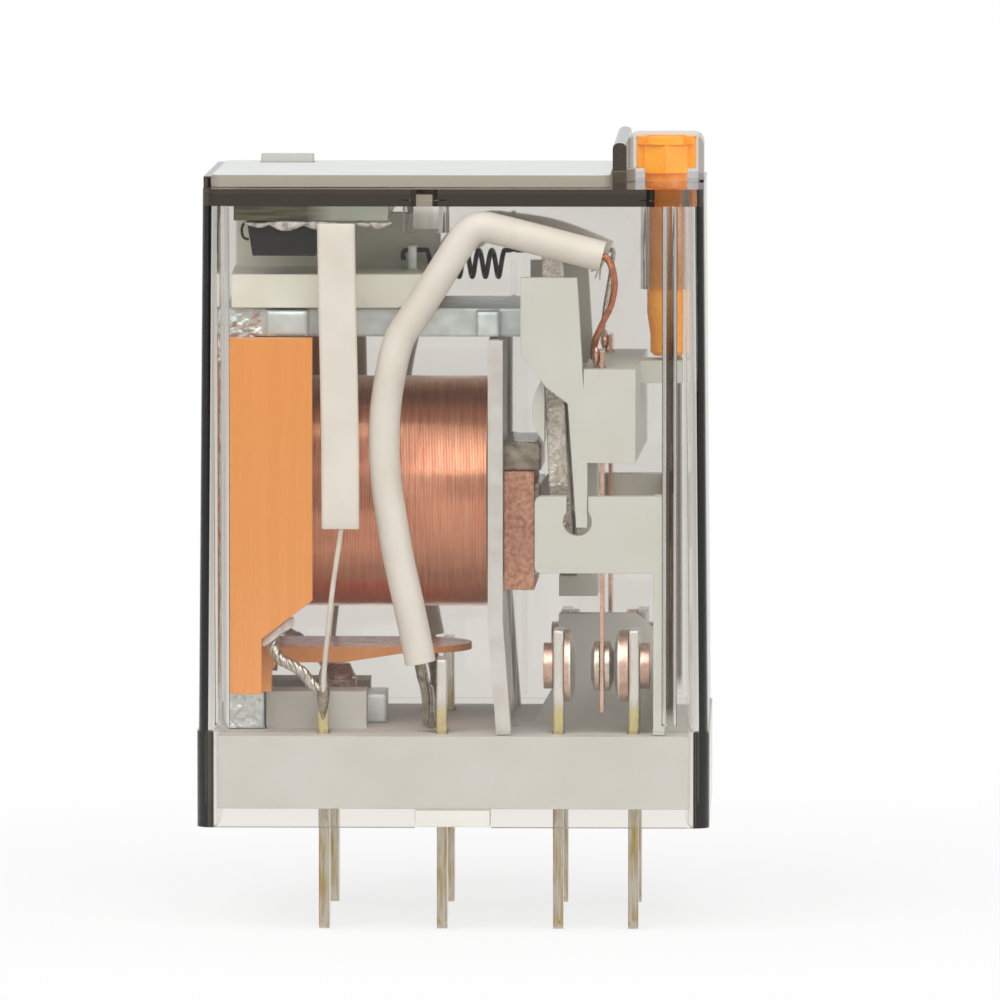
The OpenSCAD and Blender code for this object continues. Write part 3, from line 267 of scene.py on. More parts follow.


def painted_edge_shade(tree, place, rib_x, guide_x, guide_r):
    """Painted shade for thick plastic seen along its edge: 1 in the core of the right rib, less in the
    button's guide, and 0 in the thin walls. Places and sizes are in millimetres."""
    spot = add(tree, "ShaderNodeSeparateXYZ", {0: place}).outputs
    line = add(tree, "ShaderNodeMath", {0: spot["X"], 1: rib_x * MM, 2: RIB_HALF * MM}, operation="COMPARE")
    rib = add(tree, "ShaderNodeMath", {0: line.outputs[0], 1: by_height(tree, place, RIB_SHADE_BY_HEIGHT)},
              operation="MULTIPLY")
    level = add(tree, "ShaderNodeVectorMath", {0: place, 1: (1.0, 1.0, 0.0)}, operation="MULTIPLY")
    off_axis = add(tree, "ShaderNodeVectorMath", {0: level.outputs[0], 1: (guide_x * MM, 0.0, 0.0)},
                   operation="DISTANCE")
    guide = add(tree, "ShaderNodeMapRange",
                {"Value": off_axis.outputs["Value"], 1: (guide_r + 0.02) * MM, 2: (guide_r + 0.06) * MM,
                 3: GUIDE_SHARE, 4: 0.0})
    in_case = add(tree, "ShaderNodeMath", {0: spot["Z"], 1: CEILING * MM}, operation="LESS_THAN")
    either = add(tree, "ShaderNodeMath", {0: rib.outputs[0], 1: guide.outputs[0]}, operation="MAXIMUM")
    return add(tree, "ShaderNodeMath", {0: either.outputs[0], 1: in_case.outputs[0]},
               operation="MULTIPLY").outputs[0]


print("the rib's core is", 2 * RIB_HALF, "mm wide")

# %% Clear case and lens
def clear_plastic(name, roughness, lamp_share, smoke, density, haze=0.0, **painted_shade_places):
    """Clear plastic. Lamp share is how much of a lamp's light passes. Smoke is the colour that is
    left, and density is per metre. Painted shade places are the places and sizes of thick parts that get a
    painted darker tint."""
    material, tree, place = blank_finish(name)
    ray = add(tree, "ShaderNodeLightPath").outputs
    swirl = add(tree, "ShaderNodeTexNoise", {"Vector": place, "Scale": 1 / (4.0 * MM), "Detail": 1.0})
    skin = add(tree, "ShaderNodeBump",
               {"Height": swirl.outputs["Fac"], "Strength": 0.08, "Distance": 0.01 * MM})
    tint = linear("#FFFFFF")
    if painted_shade_places:
        core = painted_edge_shade(tree, place, **painted_shade_places)
        # Painted shade: the thick rib and guide get a darker tint, for how dark they look along their edge
        tint = add(tree, "ShaderNodeMix", {0: core, 6: tint, 7: linear("#766F65")},
                   data_type="RGBA").outputs[2]
    clear = add(tree, "ShaderNodeBsdfPrincipled",
                {"Base Color": tint, "Transmission Weight": 1.0 - haze, "IOR": 1.55,
                 "Roughness": roughness, "Normal": skin.outputs[0]})
    open_way = add(tree, "ShaderNodeBsdfTransparent", {"Color": lamp_share})
    for_lamps = add(tree, "ShaderNodeMixShader",
                    {0: ray["Is Shadow Ray"], 1: clear.outputs[0], 2: open_way.outputs[0]})
    for_works = add(tree, "ShaderNodeMixShader",
                    {0: ray["Is Diffuse Ray"], 1: for_lamps.outputs[0], 2: open_way.outputs[0]})
    inside = add(tree, "ShaderNodeVolumeAbsorption", {"Color": linear(smoke), "Density": density})
    add(tree, "ShaderNodeOutputMaterial", {"Surface": for_works.outputs[0], "Volume": inside.outputs[0]})
    return material


# Smoky polycarbonate: clear face on, dark brown along an edge, with painted shade in its right rib and the
# button's guide
clear_case = clear_plastic("smoky_polycarbonate", 0.03, (0.97, 0.97, 0.97, 1.0), "#AAA092", 200.0,
                           rib_x=11.68, guide_x=11.37, guide_r=1.61)
# The lens and the diode's dome: clear acrylic with a little milk in it
milky_lens = clear_plastic("milky_acrylic", 0.2, (0.9, 0.88, 0.84, 1.0), "#978C5A", 700.0, haze=0.25)
print("clear plastics:", clear_case.name, milky_lens.name)

# %% [markdown]
# ## Metals
# Each metal here was made in its own way. The yoke was pressed and zinc plated, so it is bright with
# soft clouds, and its left end is crumpled. The armature is bare steel, torn along the edge where it
# was sheared, and the core's pole is ground. The shading ring is a rough copper casting, and the
# contacts are rivets clad with silver. Each could have a tree of its own, but they differ only in
# tint, gloss and relief, so one function serves them all.

# %% Plated and bare metal
def metal(name, bright, dull, roughness, cloud=0.6, grit=0.05, relief=0.004, edge=0.06,
          bend=None, face=None, torn=False):
    """Bare or plated metal with its clouds, grit and relief in millimetres. Torn metal has its
    relief on the cut edges, which face front and rear. Left of the bend it is crumpled. Face is
    another tint, the middle of a gap and the reach of that tint on either side."""
    material, tree, place = blank_finish(name)
    along = add(tree, "ShaderNodeSeparateXYZ", {0: place}).outputs["X"]
    patches = add(tree, "ShaderNodeTexNoise", {"Vector": place, "Scale": 1 / (cloud * MM), "Detail": 4.0})
    share = add(tree, "ShaderNodeMapRange", {"Value": patches.outputs["Fac"], 1: 0.3, 2: 0.7})
    colour = add(tree, "ShaderNodeMix", {0: share.outputs[0], 6: linear(dull), 7: linear(bright)},
                 data_type="RGBA")
    if face:
        clad_tint, gap_x, reach = face
        clad = add(tree, "ShaderNodeMath", {0: along, 1: gap_x * MM, 2: reach * MM}, operation="COMPARE")
        colour = add(tree, "ShaderNodeMix",
                     {0: clad.outputs[0], 6: colour.outputs[2], 7: linear(clad_tint)}, data_type="RGBA")
    scratches = add(tree, "ShaderNodeTexNoise", {"Vector": place, "Scale": 1 / (grit * MM), "Detail": 3.0})
    gloss = add(tree, "ShaderNodeMapRange", {"Value": scratches.outputs["Fac"], 1: 0.3, 2: 0.7,
                                             3: roughness - 0.08, 4: roughness + 0.12})
    round_edge = add(tree, "ShaderNodeBevel", {"Radius": edge * MM}, samples=4)
    depth = 0.5
    if torn:
        normal = add(tree, "ShaderNodeNewGeometry").outputs["True Normal"]
        facing = add(tree, "ShaderNodeSeparateXYZ", {0: normal}).outputs["Y"]
        cut = add(tree, "ShaderNodeMath", {0: facing}, operation="ABSOLUTE")
        depth = add(tree, "ShaderNodeMapRange",
                    {"Value": cut.outputs[0], 1: 0.2, 2: 0.8, 3: 0.06, 4: 0.5}).outputs[0]
    bumps = add(tree, "ShaderNodeBump", {"Height": scratches.outputs["Fac"], "Strength": depth,
                                         "Distance": relief * MM, "Normal": round_edge.outputs[0]})
    if bend is not None:
        wrinkled = add(tree, "ShaderNodeMapRange",
                       {"Value": along, 1: (bend + 0.15) * MM, 2: (bend - 0.15) * MM})
        folds = add(tree, "ShaderNodeTexNoise", {"Vector": place, "Scale": 1 / (0.7 * MM), "Detail": 2.0})
        bumps = add(tree, "ShaderNodeBump",
                    {"Height": folds.outputs["Fac"], "Strength": wrinkled.outputs[0],
                     "Distance": 0.3 * MM, "Normal": bumps.outputs[0]})
    shader = add(tree, "ShaderNodeBsdfPrincipled",
                 {"Base Color": colour.outputs[2], "Metallic": 1.0, "Roughness": gloss.outputs[0],
                  "Normal": bumps.outputs[0]})
    add(tree, "ShaderNodeOutputMaterial", {"Surface": shader.outputs[0]})
    return material


# Zinc plate: bluish silver with soft clouds and rounded, bright edges
zinc_plate = metal("zinc_plated_steel", "#F1F6F4", "#CDD7D5", 0.37, cloud=1.1, grit=0.12, relief=0.006,
                   edge=0.3, bend=-10.4)
print("first metal:", zinc_plate.name, len(zinc_plate.node_tree.nodes), "nodes")

# %% Bare and blackened steel
# Bare steel: greyer and browner, torn along the sheared edge
sheared_steel = metal("sheared_bare_steel", "#FFFAF0", "#CFC4B4", 0.27, cloud=0.3, grit=0.2, relief=0.13,
                      edge=0.12, torn=True)
# Ground steel of the pole: darker, with a brown film of oil and a clear shine
pole_steel = metal("ground_pole_steel", "#C8BEAE", "#877D70", 0.2, cloud=0.7, grit=0.6, relief=0.012,
                   edge=0.3)
# Black spring steel: a dark wire with a soft glint along each turn
spring_black = metal("blackened_spring_steel", "#3A3A39", "#232322", 0.34, cloud=0.4, grit=0.06,
                     relief=0.003)
print("steels:", sheared_steel.name, pole_steel.name, spring_black.name)

# %% Copper, tin and silver
# Cast copper of the shading ring: pink-brown, rough and pitted
ring_copper = metal("rough_cast_copper", "#FFD0B4", "#D68C6C", 0.46, cloud=0.25, grit=0.2, relief=0.07)
# Solder: soft silver with a wet shine
solder = metal("tin_solder", "#BDB7AB", "#918A7D", 0.24, cloud=0.3, grit=0.25, relief=0.02, edge=0.05)
# Tinned copper wire: a warm, half dull silver
tinned_wire = metal("tinned_copper_wire", "#D6D1C6", "#ABA498", 0.3, cloud=0.3, grit=0.08, relief=0.006)
# Varnish over a copper rivet: brown and glossy, with soft edges
brown_rivet = metal("varnished_brown_rivet", "#E2BEA8", "#B08C76", 0.24, cloud=0.4, grit=0.15,
                    relief=0.012, edge=0.12)
# Copper-nickel leaf springs: pink, smooth and bright
contact_copper = metal("bright_contact_copper", "#F6D3C0", "#E4AE94", 0.22, cloud=0.7, grit=0.1,
                       relief=0.004)
# Bimetal rivets: a copper body clad with silver where the contacts meet
bimetal = metal("bimetal_contact_rivet", "#F6D6C5", "#CFA592", 0.36, cloud=0.5, grit=0.12, relief=0.008,
                face=("#EDE9E2", 7.555, 1.36))
# Silver rivets between them: warm white, dulled by use
silver_rivet = metal("silver_contact_rivet", "#F2E9DC", "#C4B29C", 0.32, cloud=0.5, grit=0.12,
                     relief=0.008)
# Bare copper strands: redder than the leaf springs and a little tarnished
strand_copper = metal("bare_copper_strand", "#D98E68", "#B56C4A", 0.3, cloud=0.25, grit=0.06,
                      relief=0.004)
print("finishes so far:", len(bpy.data.materials))

# %% [markdown]
# ## Tinned brass blades
# The blades were stamped from brass strip that was tinned first, so their faces are silver and their
# cut edges show gold. The edges could be picked out by hand and given a second material. But the
# blades stand in rows and all their cut edges face the front and the rear, so the way a face points
# tells the shader which it is.

# %% Tinned brass
def tinned_brass():
    """Brass strip under tin: gold on the cut edges, most of all round the foot."""
    material, tree, place = blank_finish("tinned_brass_strip")
    normal = add(tree, "ShaderNodeNewGeometry").outputs["True Normal"]
    facing = add(tree, "ShaderNodeSeparateXYZ", {0: normal}).outputs["Y"]
    cut_edge = add(tree, "ShaderNodeMath", {0: facing}, operation="ABSOLUTE")
    drawn = add(tree, "ShaderNodeMapping",
                {"Vector": place, "Scale": (1 / (0.22 * MM), 1 / (0.3 * MM), 1 / (2.4 * MM))})
    streaks = add(tree, "ShaderNodeTexNoise", {"Vector": drawn.outputs[0], "Scale": 1.0, "Detail": 3.0})
    bare = add(tree, "ShaderNodeMapRange", {"Value": streaks.outputs["Fac"], 1: 0.42, 2: 0.66})
    # The tin was wiped off by the mould round the foot of each blade, and is whole farther up
    foot = by_height(tree, place, ((4.6, 0.0), (5.0, 0.75)))
    wiped = by_height(tree, place, ((6.1, 1.0), (6.6, 0.0)))
    bare = add(tree, "ShaderNodeMath", {0: bare.outputs[0], 1: foot}, operation="MAXIMUM")
    gold = add(tree, "ShaderNodeMath", {0: cut_edge.outputs[0], 1: bare.outputs[0]}, operation="MULTIPLY")
    gold = add(tree, "ShaderNodeMath", {0: gold.outputs[0], 1: wiped}, operation="MULTIPLY")
    # Painted shade: the tin below the case is darker, as it mirrors a darker room, and the tin inside is
    # bright
    unshaded = by_height(tree, place, ((5.5, 0.0), (7.0, 1.0)))
    tin = add(tree, "ShaderNodeMix", {0: unshaded, 6: linear("#B9B4A8"), 7: linear("#F0EDE6")},
              data_type="RGBA")
    # Painted shade: the brass below the foot is darker in the same way
    brass = add(tree, "ShaderNodeMix", {0: foot, 6: linear("#A48A4C"), 7: linear("#F4E394")},
                data_type="RGBA")
    colour = add(tree, "ShaderNodeMix", {0: gold.outputs[0], 6: tin.outputs[2], 7: brass.outputs[2]},
                 data_type="RGBA")
    gloss = add(tree, "ShaderNodeMapRange",
                {"Value": streaks.outputs["Fac"], 1: 0.3, 2: 0.7, 3: 0.2, 4: 0.38})
    round_edge = add(tree, "ShaderNodeBevel", {"Radius": 0.2 * MM}, samples=4)
    bumps = add(tree, "ShaderNodeBump", {"Height": streaks.outputs["Fac"], "Strength": 0.5,
                                         "Distance": 0.02 * MM, "Normal": round_edge.outputs[0]})
    shader = add(tree, "ShaderNodeBsdfPrincipled",
                 {"Base Color": colour.outputs[2], "Metallic": 1.0, "Roughness": gloss.outputs[0],
                  "Normal": bumps.outputs[0]})
    add(tree, "ShaderNodeOutputMaterial", {"Surface": shader.outputs[0]})
    return material


# Tinned brass: streaky silver faces and gold edges
blade_brass = tinned_brass()
print("blades:", blade_brass.name)

# %% [markdown]
# ## Enamelled wire, lead sheath and circuit board
# The coil's wire is copper under a clear reddish enamel, which is metal with a coat. The leads have a
# soft sheath that scatters light just under its skin. The board is glass cloth in resin, pressed in
# thin layers that show as olive lines along its edge. A picture of such an edge would blur close up,
# so stretched noise draws the layers.

# %% Enamelled copper
def enamelled_copper():
    """Copper wire under enamel, with a tint that changes from turn to turn."""
    material, tree, place = blank_finish("enamelled_copper_wire")
    drawn = add(tree, "ShaderNodeMapping",
                {"Vector": place, "Scale": (1 / (0.16 * MM), 1 / (3.0 * MM), 1 / (3.0 * MM))})
    turns = add(tree, "ShaderNodeTexNoise", {"Vector": drawn.outputs[0], "Scale": 1.0, "Detail": 3.0})
    share = add(tree, "ShaderNodeMapRange", {"Value": turns.outputs["Fac"], 1: 0.3, 2: 0.7})
    colour = add(tree, "ShaderNodeMix", {0: share.outputs[0], 6: linear("#F4AE8C"), 7: linear("#FFCBA9")},
                 data_type="RGBA")
    gloss = add(tree, "ShaderNodeMapRange",
                {"Value": turns.outputs["Fac"], 1: 0.3, 2: 0.7, 3: 0.12, 4: 0.26})
    runs = add(tree, "ShaderNodeBump",
               {"Height": turns.outputs["Fac"], "Strength": 0.2, "Distance": 0.003 * MM})
    shader = add(tree, "ShaderNodeBsdfPrincipled",
                 {"Base Color": colour.outputs[2], "Metallic": 0.92, "Roughness": gloss.outputs[0],
                  "Coat Weight": 0.35, "Coat Roughness": 0.1, "Normal": runs.outputs[0]})
    add(tree, "ShaderNodeOutputMaterial", {"Surface": shader.outputs[0]})
    return material


# Enamelled copper: a reddish shine that breaks into fine lines
winding_copper = enamelled_copper()
print("winding finish:", winding_copper.name)

# %% Board and sheath
def glass_cloth_board():
    """Glass cloth in resin, in layers along Z. The right half of its edge is milled to the glass."""
    material, tree, place = blank_finish("glass_cloth_board")
    layers = add(tree, "ShaderNodeMapping",
                 {"Vector": place, "Scale": (1 / (2.2 * MM), 1 / (2.2 * MM), 1 / (0.14 * MM))})
    cloth = add(tree, "ShaderNodeTexNoise", {"Vector": layers.outputs[0], "Scale": 1.0, "Detail": 4.0})
    shade = add(tree, "ShaderNodeMapRange", {"Value": cloth.outputs["Fac"], 1: 0.38, 2: 0.62})
    resin = add(tree, "ShaderNodeMix", {0: shade.outputs[0], 6: linear("#1C1605"), 7: linear("#4C451F")},
                data_type="RGBA")
    along = add(tree, "ShaderNodeSeparateXYZ", {0: place}).outputs["X"]
    milled = add(tree, "ShaderNodeMapRange", {"Value": along, 1: -8.0 * MM, 2: -6.5 * MM, 3: 0.0, 4: 0.6})
    colour = add(tree, "ShaderNodeMix", {0: milled.outputs[0], 6: resin.outputs[2], 7: linear("#B8BEAD")},
                 data_type="RGBA")
    gloss = add(tree, "ShaderNodeMapRange",
                {"Value": cloth.outputs["Fac"], 1: 0.3, 2: 0.7, 3: 0.34, 4: 0.48})
    bumps = add(tree, "ShaderNodeBump",
                {"Height": cloth.outputs["Fac"], "Strength": 0.6, "Distance": 0.03 * MM})
    shader = add(tree, "ShaderNodeBsdfPrincipled",
                 {"Base Color": colour.outputs[2], "Roughness": gloss.outputs[0], "Coat Weight": 0.12,
                  "Normal": bumps.outputs[0]})
    add(tree, "ShaderNodeOutputMaterial", {"Surface": shader.outputs[0]})
    return material


# Glass cloth board: olive layers, pale green where they are milled
board_cloth = glass_cloth_board()
# Silicone sheath: a soft, waxy off-white
lead_silicone = moulded("silicone_lead_sheath", "#E2DCD0", "#DAD3C6", 0.42, grain=0.12, relief=0.002,
                        edge=0.03, **{"Subsurface Weight": 0.2, "Subsurface Scale": 0.5,
                                      "Subsurface Radius": (0.0006, 0.0005, 0.0004)})
print("board and sheath:", board_cloth.name, lead_silicone.name)

# %% [markdown]
# ## Dress the solids
# Most pieces are rigid mouldings and stampings, and their solids already have the right shape. They
# could be modelled again here, but that would only bring in errors, so each stays as it is and gets
# its finish.

# %% Finishes for the solids
FINISHES = {
    clear_case: ["cover"],
    milky_lens: ["indicator_lens", "module_led"],
    white_styrene: ["label_plate"],
    grey_nylon: ["base"],
    green_nylon: ["contact_frame", "carrier"],
    thin_nylon: ["insulating_wall"],
    orange_gloss: ["button_knob"],
    orange_stem: ["button_stem"],
    orange_polyester: ["bobbin"],
    blade_brass: [n for n in solids if "_pin_" in n],
    bimetal: [n for n in solids if n.startswith(("no_contact_", "nc_contact_"))],
    silver_rivet: [n for n in solids if n.startswith("moving_contact_")],
    contact_copper: [n for n in solids if n.startswith("leaf_spring")],
    zinc_plate: ["yoke"],
    sheared_steel: ["armature"],
    pole_steel: ["core"],
    brown_rivet: ["foot_rivet"],
    ring_copper: ["shading_ring"],
    board_cloth: ["module_board"],
    black_epoxy: ["module_diode"],
    cream_polyester: ["module_bracket"],
}
for finish, names in FINISHES.items():
    for name in names:
        solids[name].data.materials.clear()
        solids[name].data.materials.append(finish)
print("dressed", sum(len(names) for names in FINISHES.values()), "of", len(solids), "solids")

# %% [markdown]
# A solid's round faces come as narrow flats. Shading them smooth, with the sharp edges split again at
# 30 degrees, gives round pieces an even highlight and leaves the corners crisp. Finer flats would
# help too, but every one of them would have to be stored.

# %% Smooth round faces
for solid in solids.values():
    solid.data.polygons.foreach_set("use_smooth", [True] * len(solid.data.polygons))
    weld = solid.modifiers.new("weld", "WELD")
    weld.merge_threshold = 0.002 * MM
    split = solid.modifiers.new("split", "EDGE_SPLIT")
    split.split_angle = math.radians(30)
print("smooth solids:", len(solids))

# %% [markdown]
# ## Wires that follow a route
# A lead is a round section carried along a path. A curve with a bevel could do that, but Geometry
# Nodes keep every size as a named input: the route's points become a smooth spline, a little noise
# makes it wander as a hand-bent wire does, and a circle is swept along it. One tree serves the leads,
# the spring and the single wires, each with its own sizes.

# %% Trees: helpers, and a wire along a route
def new_tree(name, sizes):
    """A geometry tree with named inputs, and the sockets that give their values."""
    tree = bpy.data.node_groups.new(name, "GeometryNodeTree")
    tree.interface.new_socket("Geometry", in_out="INPUT", socket_type="NodeSocketGeometry")
    for label, kind in sizes.items():
        tree.interface.new_socket(label, in_out="INPUT", socket_type="NodeSocket" + kind)
    tree.interface.new_socket("Geometry", in_out="OUTPUT", socket_type="NodeSocketGeometry")
    return tree, add(tree, "NodeGroupInput").outputs


def end_tree(tree, geometry, material):
    """The tree's end: smooth faces, real meshes in place of instances, and the finish."""
    smooth = add(tree, "GeometryNodeSetShadeSmooth", {"Geometry": geometry})
    real = add(tree, "GeometryNodeRealizeInstances", {"Geometry": smooth.outputs[0]})
    finished = add(tree, "GeometryNodeSetMaterial", {"Geometry": real.outputs[0], "Material": material})
    add(tree, "NodeGroupOutput", {0: finished.outputs[0]})


def smooth_spline(tree, route, step):
    """The route's points as a smooth curve with even steps."""
    line = add(tree, "GeometryNodeMeshToCurve", {"Mesh": route})
    bend = add(tree, "GeometryNodeCurveSplineType", {"Curve": line.outputs[0]}, spline_type="CATMULL_ROM")
    even = add(tree, "GeometryNodeResampleCurve", {"Curve": bend.outputs[0], "Length": step}, mode="LENGTH")
    return even.outputs[0]


def wander(tree, curve, reach, size, seed):
    """Moves a curve's points by noise, up to half of reach."""
    place = add(tree, "GeometryNodeInputPosition").outputs[0]
    waves = add(tree, "ShaderNodeTexNoise", {"Vector": place, "W": seed, "Scale": size, "Detail": 1.0},
                noise_dimensions="4D")
    middle = add(tree, "ShaderNodeVectorMath", {0: waves.outputs["Color"], 1: (0.5, 0.5, 0.5)},
                 operation="SUBTRACT")
    shift = add(tree, "ShaderNodeVectorMath", {0: middle.outputs[0], "Scale": reach}, operation="SCALE")
    return add(tree, "GeometryNodeSetPosition", {"Geometry": curve, "Offset": shift.outputs[0]}).outputs[0]


wire_tree, size = new_tree("wire_along_a_route", {"Radius": "Float", "Sides": "Int", "Step": "Float",
                                                  "Wander": "Float", "Seed": "Float", "Finish": "Material"})
curve = smooth_spline(wire_tree, size["Geometry"], size["Step"])
curve = wander(wire_tree, curve, size["Wander"], 1 / (5 * MM), size["Seed"])
section = add(wire_tree, "GeometryNodeCurvePrimitiveCircle",
              {"Resolution": size["Sides"], "Radius": size["Radius"]})
swept = add(wire_tree, "GeometryNodeCurveToMesh",
            {"Curve": curve, "Profile Curve": section.outputs[0], "Fill Caps": True})
end_tree(wire_tree, swept.outputs[0], size["Finish"])
print("tree:", wire_tree.name, len(wire_tree.nodes), "nodes")

# %% Growing a piece from a tree
def grow(name, route, tree, body, **sizes):
    """Runs a tree on a route of points in metres, and keeps the result as a plain mesh on its body."""
    mesh = bpy.data.meshes.new(name)
    mesh.from_pydata([tuple(p) for p in route], [(i, i + 1) for i in range(len(route) - 1)], [])
    piece = bpy.data.objects.new(name, mesh)
    bpy.context.scene.collection.objects.link(piece)
    modifier = piece.modifiers.new("grow", "NODES")
    modifier.node_group = tree
    for item in tree.interface.items_tree:
        if item.in_out == "INPUT" and item.name.replace(" ", "_") in sizes:
            modifier[item.identifier] = sizes[item.name.replace(" ", "_")]
    bpy.context.view_layer.update()
    made = bpy.data.meshes.new_from_object(piece.evaluated_get(bpy.context.evaluated_depsgraph_get()))
    piece.modifiers.clear()
    piece.data = made
    made.name = name
    if body:
        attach(piece, body)
    print(f"{name}: {len(made.polygons)} faces")
    return piece


print("pieces can grow from", wire_tree.name)

# %% [markdown]
# ## The two insulated leads
# They carry the current from the common blades to the moving leaf springs, one in front and one
# behind, each in a wide loose curve so that it doesn't hinder the carrier. The curve could be drawn
# by eye in the viewport, but it has to lie where the CAD's lead lies. So its points are given as the
# CAD gives them: place along the case, distance from the inner wall, and height in percent of the
# room above the base.

# %% Routes
# The inner wall's place in depth, the base's top and the height of the room above it, in millimetres
INNER_Y, BASE_TOP, ROOM = 9.41, 4.9, 28.65


def in_room(route, side):
    """A route's points in metres, in front (-1) or behind (1)."""
    return [Vector((x, side * (INNER_Y - d), BASE_TOP + ROOM * p / 100)) * MM for x, d, p in route]


LEAD = [(-1.8, 1.2, 13.6), (-2.15, 1.1, 20), (-2.55, 1, 26.6), (-3, 1, 34), (-3.35, 1, 41.2),
        (-3.65, 1, 48.5), (-3.75, 1, 56), (-3.6, 1, 63.5), (-3, 1, 73.9), (-2.2, 1, 78.8),
        (-1.2, 1, 84.3), (-0.2, 1, 89.8), (0.45, 1, 93.3), (0.95, 1, 95.3), (1.55, 1.05, 96),
        (2.3, 1.1, 95.5), (4.6, 1.1, 93.5), (8, 1.1, 90.4)]
# The rear lead sags a little more after its bend
SAG = [(0.45, 1, 91.2), (0.95, 1, 92.6), (1.55, 1.05, 93.1), (2.3, 1.1, 92.9), (4.4, 1.1, 91.8),
       (6, 1.1, 90), (7.7, 1.1, 87.4)]
LEADS = {"front": LEAD, "rear": LEAD[:12] + SAG}
SIDES = {"front": -1, "rear": 1}
for where, route in LEADS.items():
    points = in_room(route, SIDES[where])
    print(where, "lead:", round(sum((b - a).length for a, b in zip(points, points[1:])) / MM, 1), "mm long")

# %% Leads
SHEATH_WALL, HOLE_DEPTH = 0.3 * MM, 0.5 * MM


def open_ends(mesh):
    """Sinks the flat caps of a swept sheath, so that its cut ends show a wall and a hole."""
    work = bmesh.new()
    work.from_mesh(mesh)
    for cap in [f for f in work.faces if len(f.verts) > 4]:
        inward = -cap.normal.copy()
        bmesh.ops.inset_region(work, faces=[cap], thickness=SHEATH_WALL)
        hole = bmesh.ops.extrude_face_region(work, geom=[cap])
        floor_of_hole = [v for v in hole["geom"] if isinstance(v, bmesh.types.BMVert)]
        bmesh.ops.translate(work, verts=floor_of_hole, vec=inward * HOLE_DEPTH)
        bmesh.ops.delete(work, geom=[cap], context="FACES")
    work.to_mesh(mesh)
    work.free()


for where, side in SIDES.items():
    lead = grow(f"lead_sheath_{where}", in_room(LEADS[where], side), wire_tree, "frame_and_case",
                Radius=0.84 * MM, Sides=32, Step=0.3 * MM, Wander=0.08 * MM, Seed=3.0 + side,
                Finish=lead_silicone)
    open_ends(lead.data)
    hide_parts(f"lead_{where}")

# %% [markdown]
# ## Bare strands
# Where the sheath ends, the copper strands come out. They could be drawn one by one, but a bundle is
# the same route many times over, each copy a little off the middle and turning about it. Duplicate
# Elements makes the copies, and the spline's own normal and tangent say which way is off the middle.

# %% Tree: strands along a route
GOLDEN_TURN = 2.4  # radians from one strand to the next, so that no two lie in line
strand_tree, size = new_tree("strands_along_a_route", {
    "Strands": "Int", "Bundle": "Float", "Radius": "Float", "Lay": "Float", "Step": "Float",
    "Wander": "Float", "Seed": "Int", "Finish": "Material"})
curve = smooth_spline(strand_tree, size["Geometry"], size["Step"])
copies = add(strand_tree, "GeometryNodeDuplicateElements", {"Geometry": curve, "Amount": size["Strands"]},
             domain="SPLINE")
number = copies.outputs["Duplicate Index"]
along = add(strand_tree, "GeometryNodeSplineParameter").outputs["Length"]
winds = add(strand_tree, "ShaderNodeMath", {0: along, 1: size["Lay"]}, operation="DIVIDE")
turn = add(strand_tree, "ShaderNodeMath", {0: winds.outputs[0], 1: 2 * math.pi}, operation="MULTIPLY")
angle = add(strand_tree, "ShaderNodeMath", {0: number, 1: GOLDEN_TURN, 2: turn.outputs[0]},
            operation="MULTIPLY_ADD")
spread = add(strand_tree, "FunctionNodeRandomValue", {2: 0.45, 3: 1.0, "ID": number, "Seed": size["Seed"]},
             data_type="FLOAT")
off = add(strand_tree, "ShaderNodeMath", {0: spread.outputs[1], 1: size["Bundle"]}, operation="MULTIPLY")
upright = add(strand_tree, "GeometryNodeInputNormal").outputs[0]
ahead = add(strand_tree, "GeometryNodeInputTangent").outputs[0]
sideways = add(strand_tree, "ShaderNodeVectorMath", {0: ahead, 1: upright}, operation="CROSS_PRODUCT")
parts = [add(strand_tree, "ShaderNodeMath", {0: angle.outputs[0]}, operation=o).outputs[0]
         for o in ("COSINE", "SINE")]
legs = [add(strand_tree, "ShaderNodeVectorMath", {0: axis, "Scale": part}, operation="SCALE").outputs[0]
        for axis, part in zip((upright, sideways.outputs[0]), parts)]
way = add(strand_tree, "ShaderNodeVectorMath", {0: legs[0], 1: legs[1]}, operation="ADD")
shift = add(strand_tree, "ShaderNodeVectorMath", {0: way.outputs[0], "Scale": off.outputs[0]},
            operation="SCALE")
bundle = add(strand_tree, "GeometryNodeSetPosition",
             {"Geometry": copies.outputs[0], "Offset": shift.outputs[0]})
curve = wander(strand_tree, bundle.outputs[0], size["Wander"], 1 / (0.7 * MM), 1.5)
section = add(strand_tree, "GeometryNodeCurvePrimitiveCircle", {"Resolution": 6, "Radius": size["Radius"]})
swept = add(strand_tree, "GeometryNodeCurveToMesh",
            {"Curve": curve, "Profile Curve": section.outputs[0], "Fill Caps": True})
end_tree(strand_tree, swept.outputs[0], size["Finish"])
print("tree:", strand_tree.name, len(strand_tree.nodes), "nodes")

# %% Pigtails
# The pigtails' heights are measured from the armature's pivot, because they move with it
PIVOT_Z = 27.075
BOWED = [(7.9, 1.12, 3.72), (8.2, 1.1, 3.66), (8.5, 1.1, 3.2), (8.65, 1.2, 2.3), (8.5, 1.4, 1.2),
         (8.1, 1.5, 0.3), (7.7, 1.8, -0.6), (7.51, 2.2, -1.3), (7.51, 2.4, -1.9)]
TAUT = [(7.6, 1.1, 2.95), (7.9, 1.1, 3.2), (8.02, 1.15, 3.0), (7.86, 1.3, 1.7), (7.62, 1.6, 0.2),
        (7.5, 2.0, -1.0), (7.51, 2.2, -1.4), (7.51, 2.4, -1.9)]
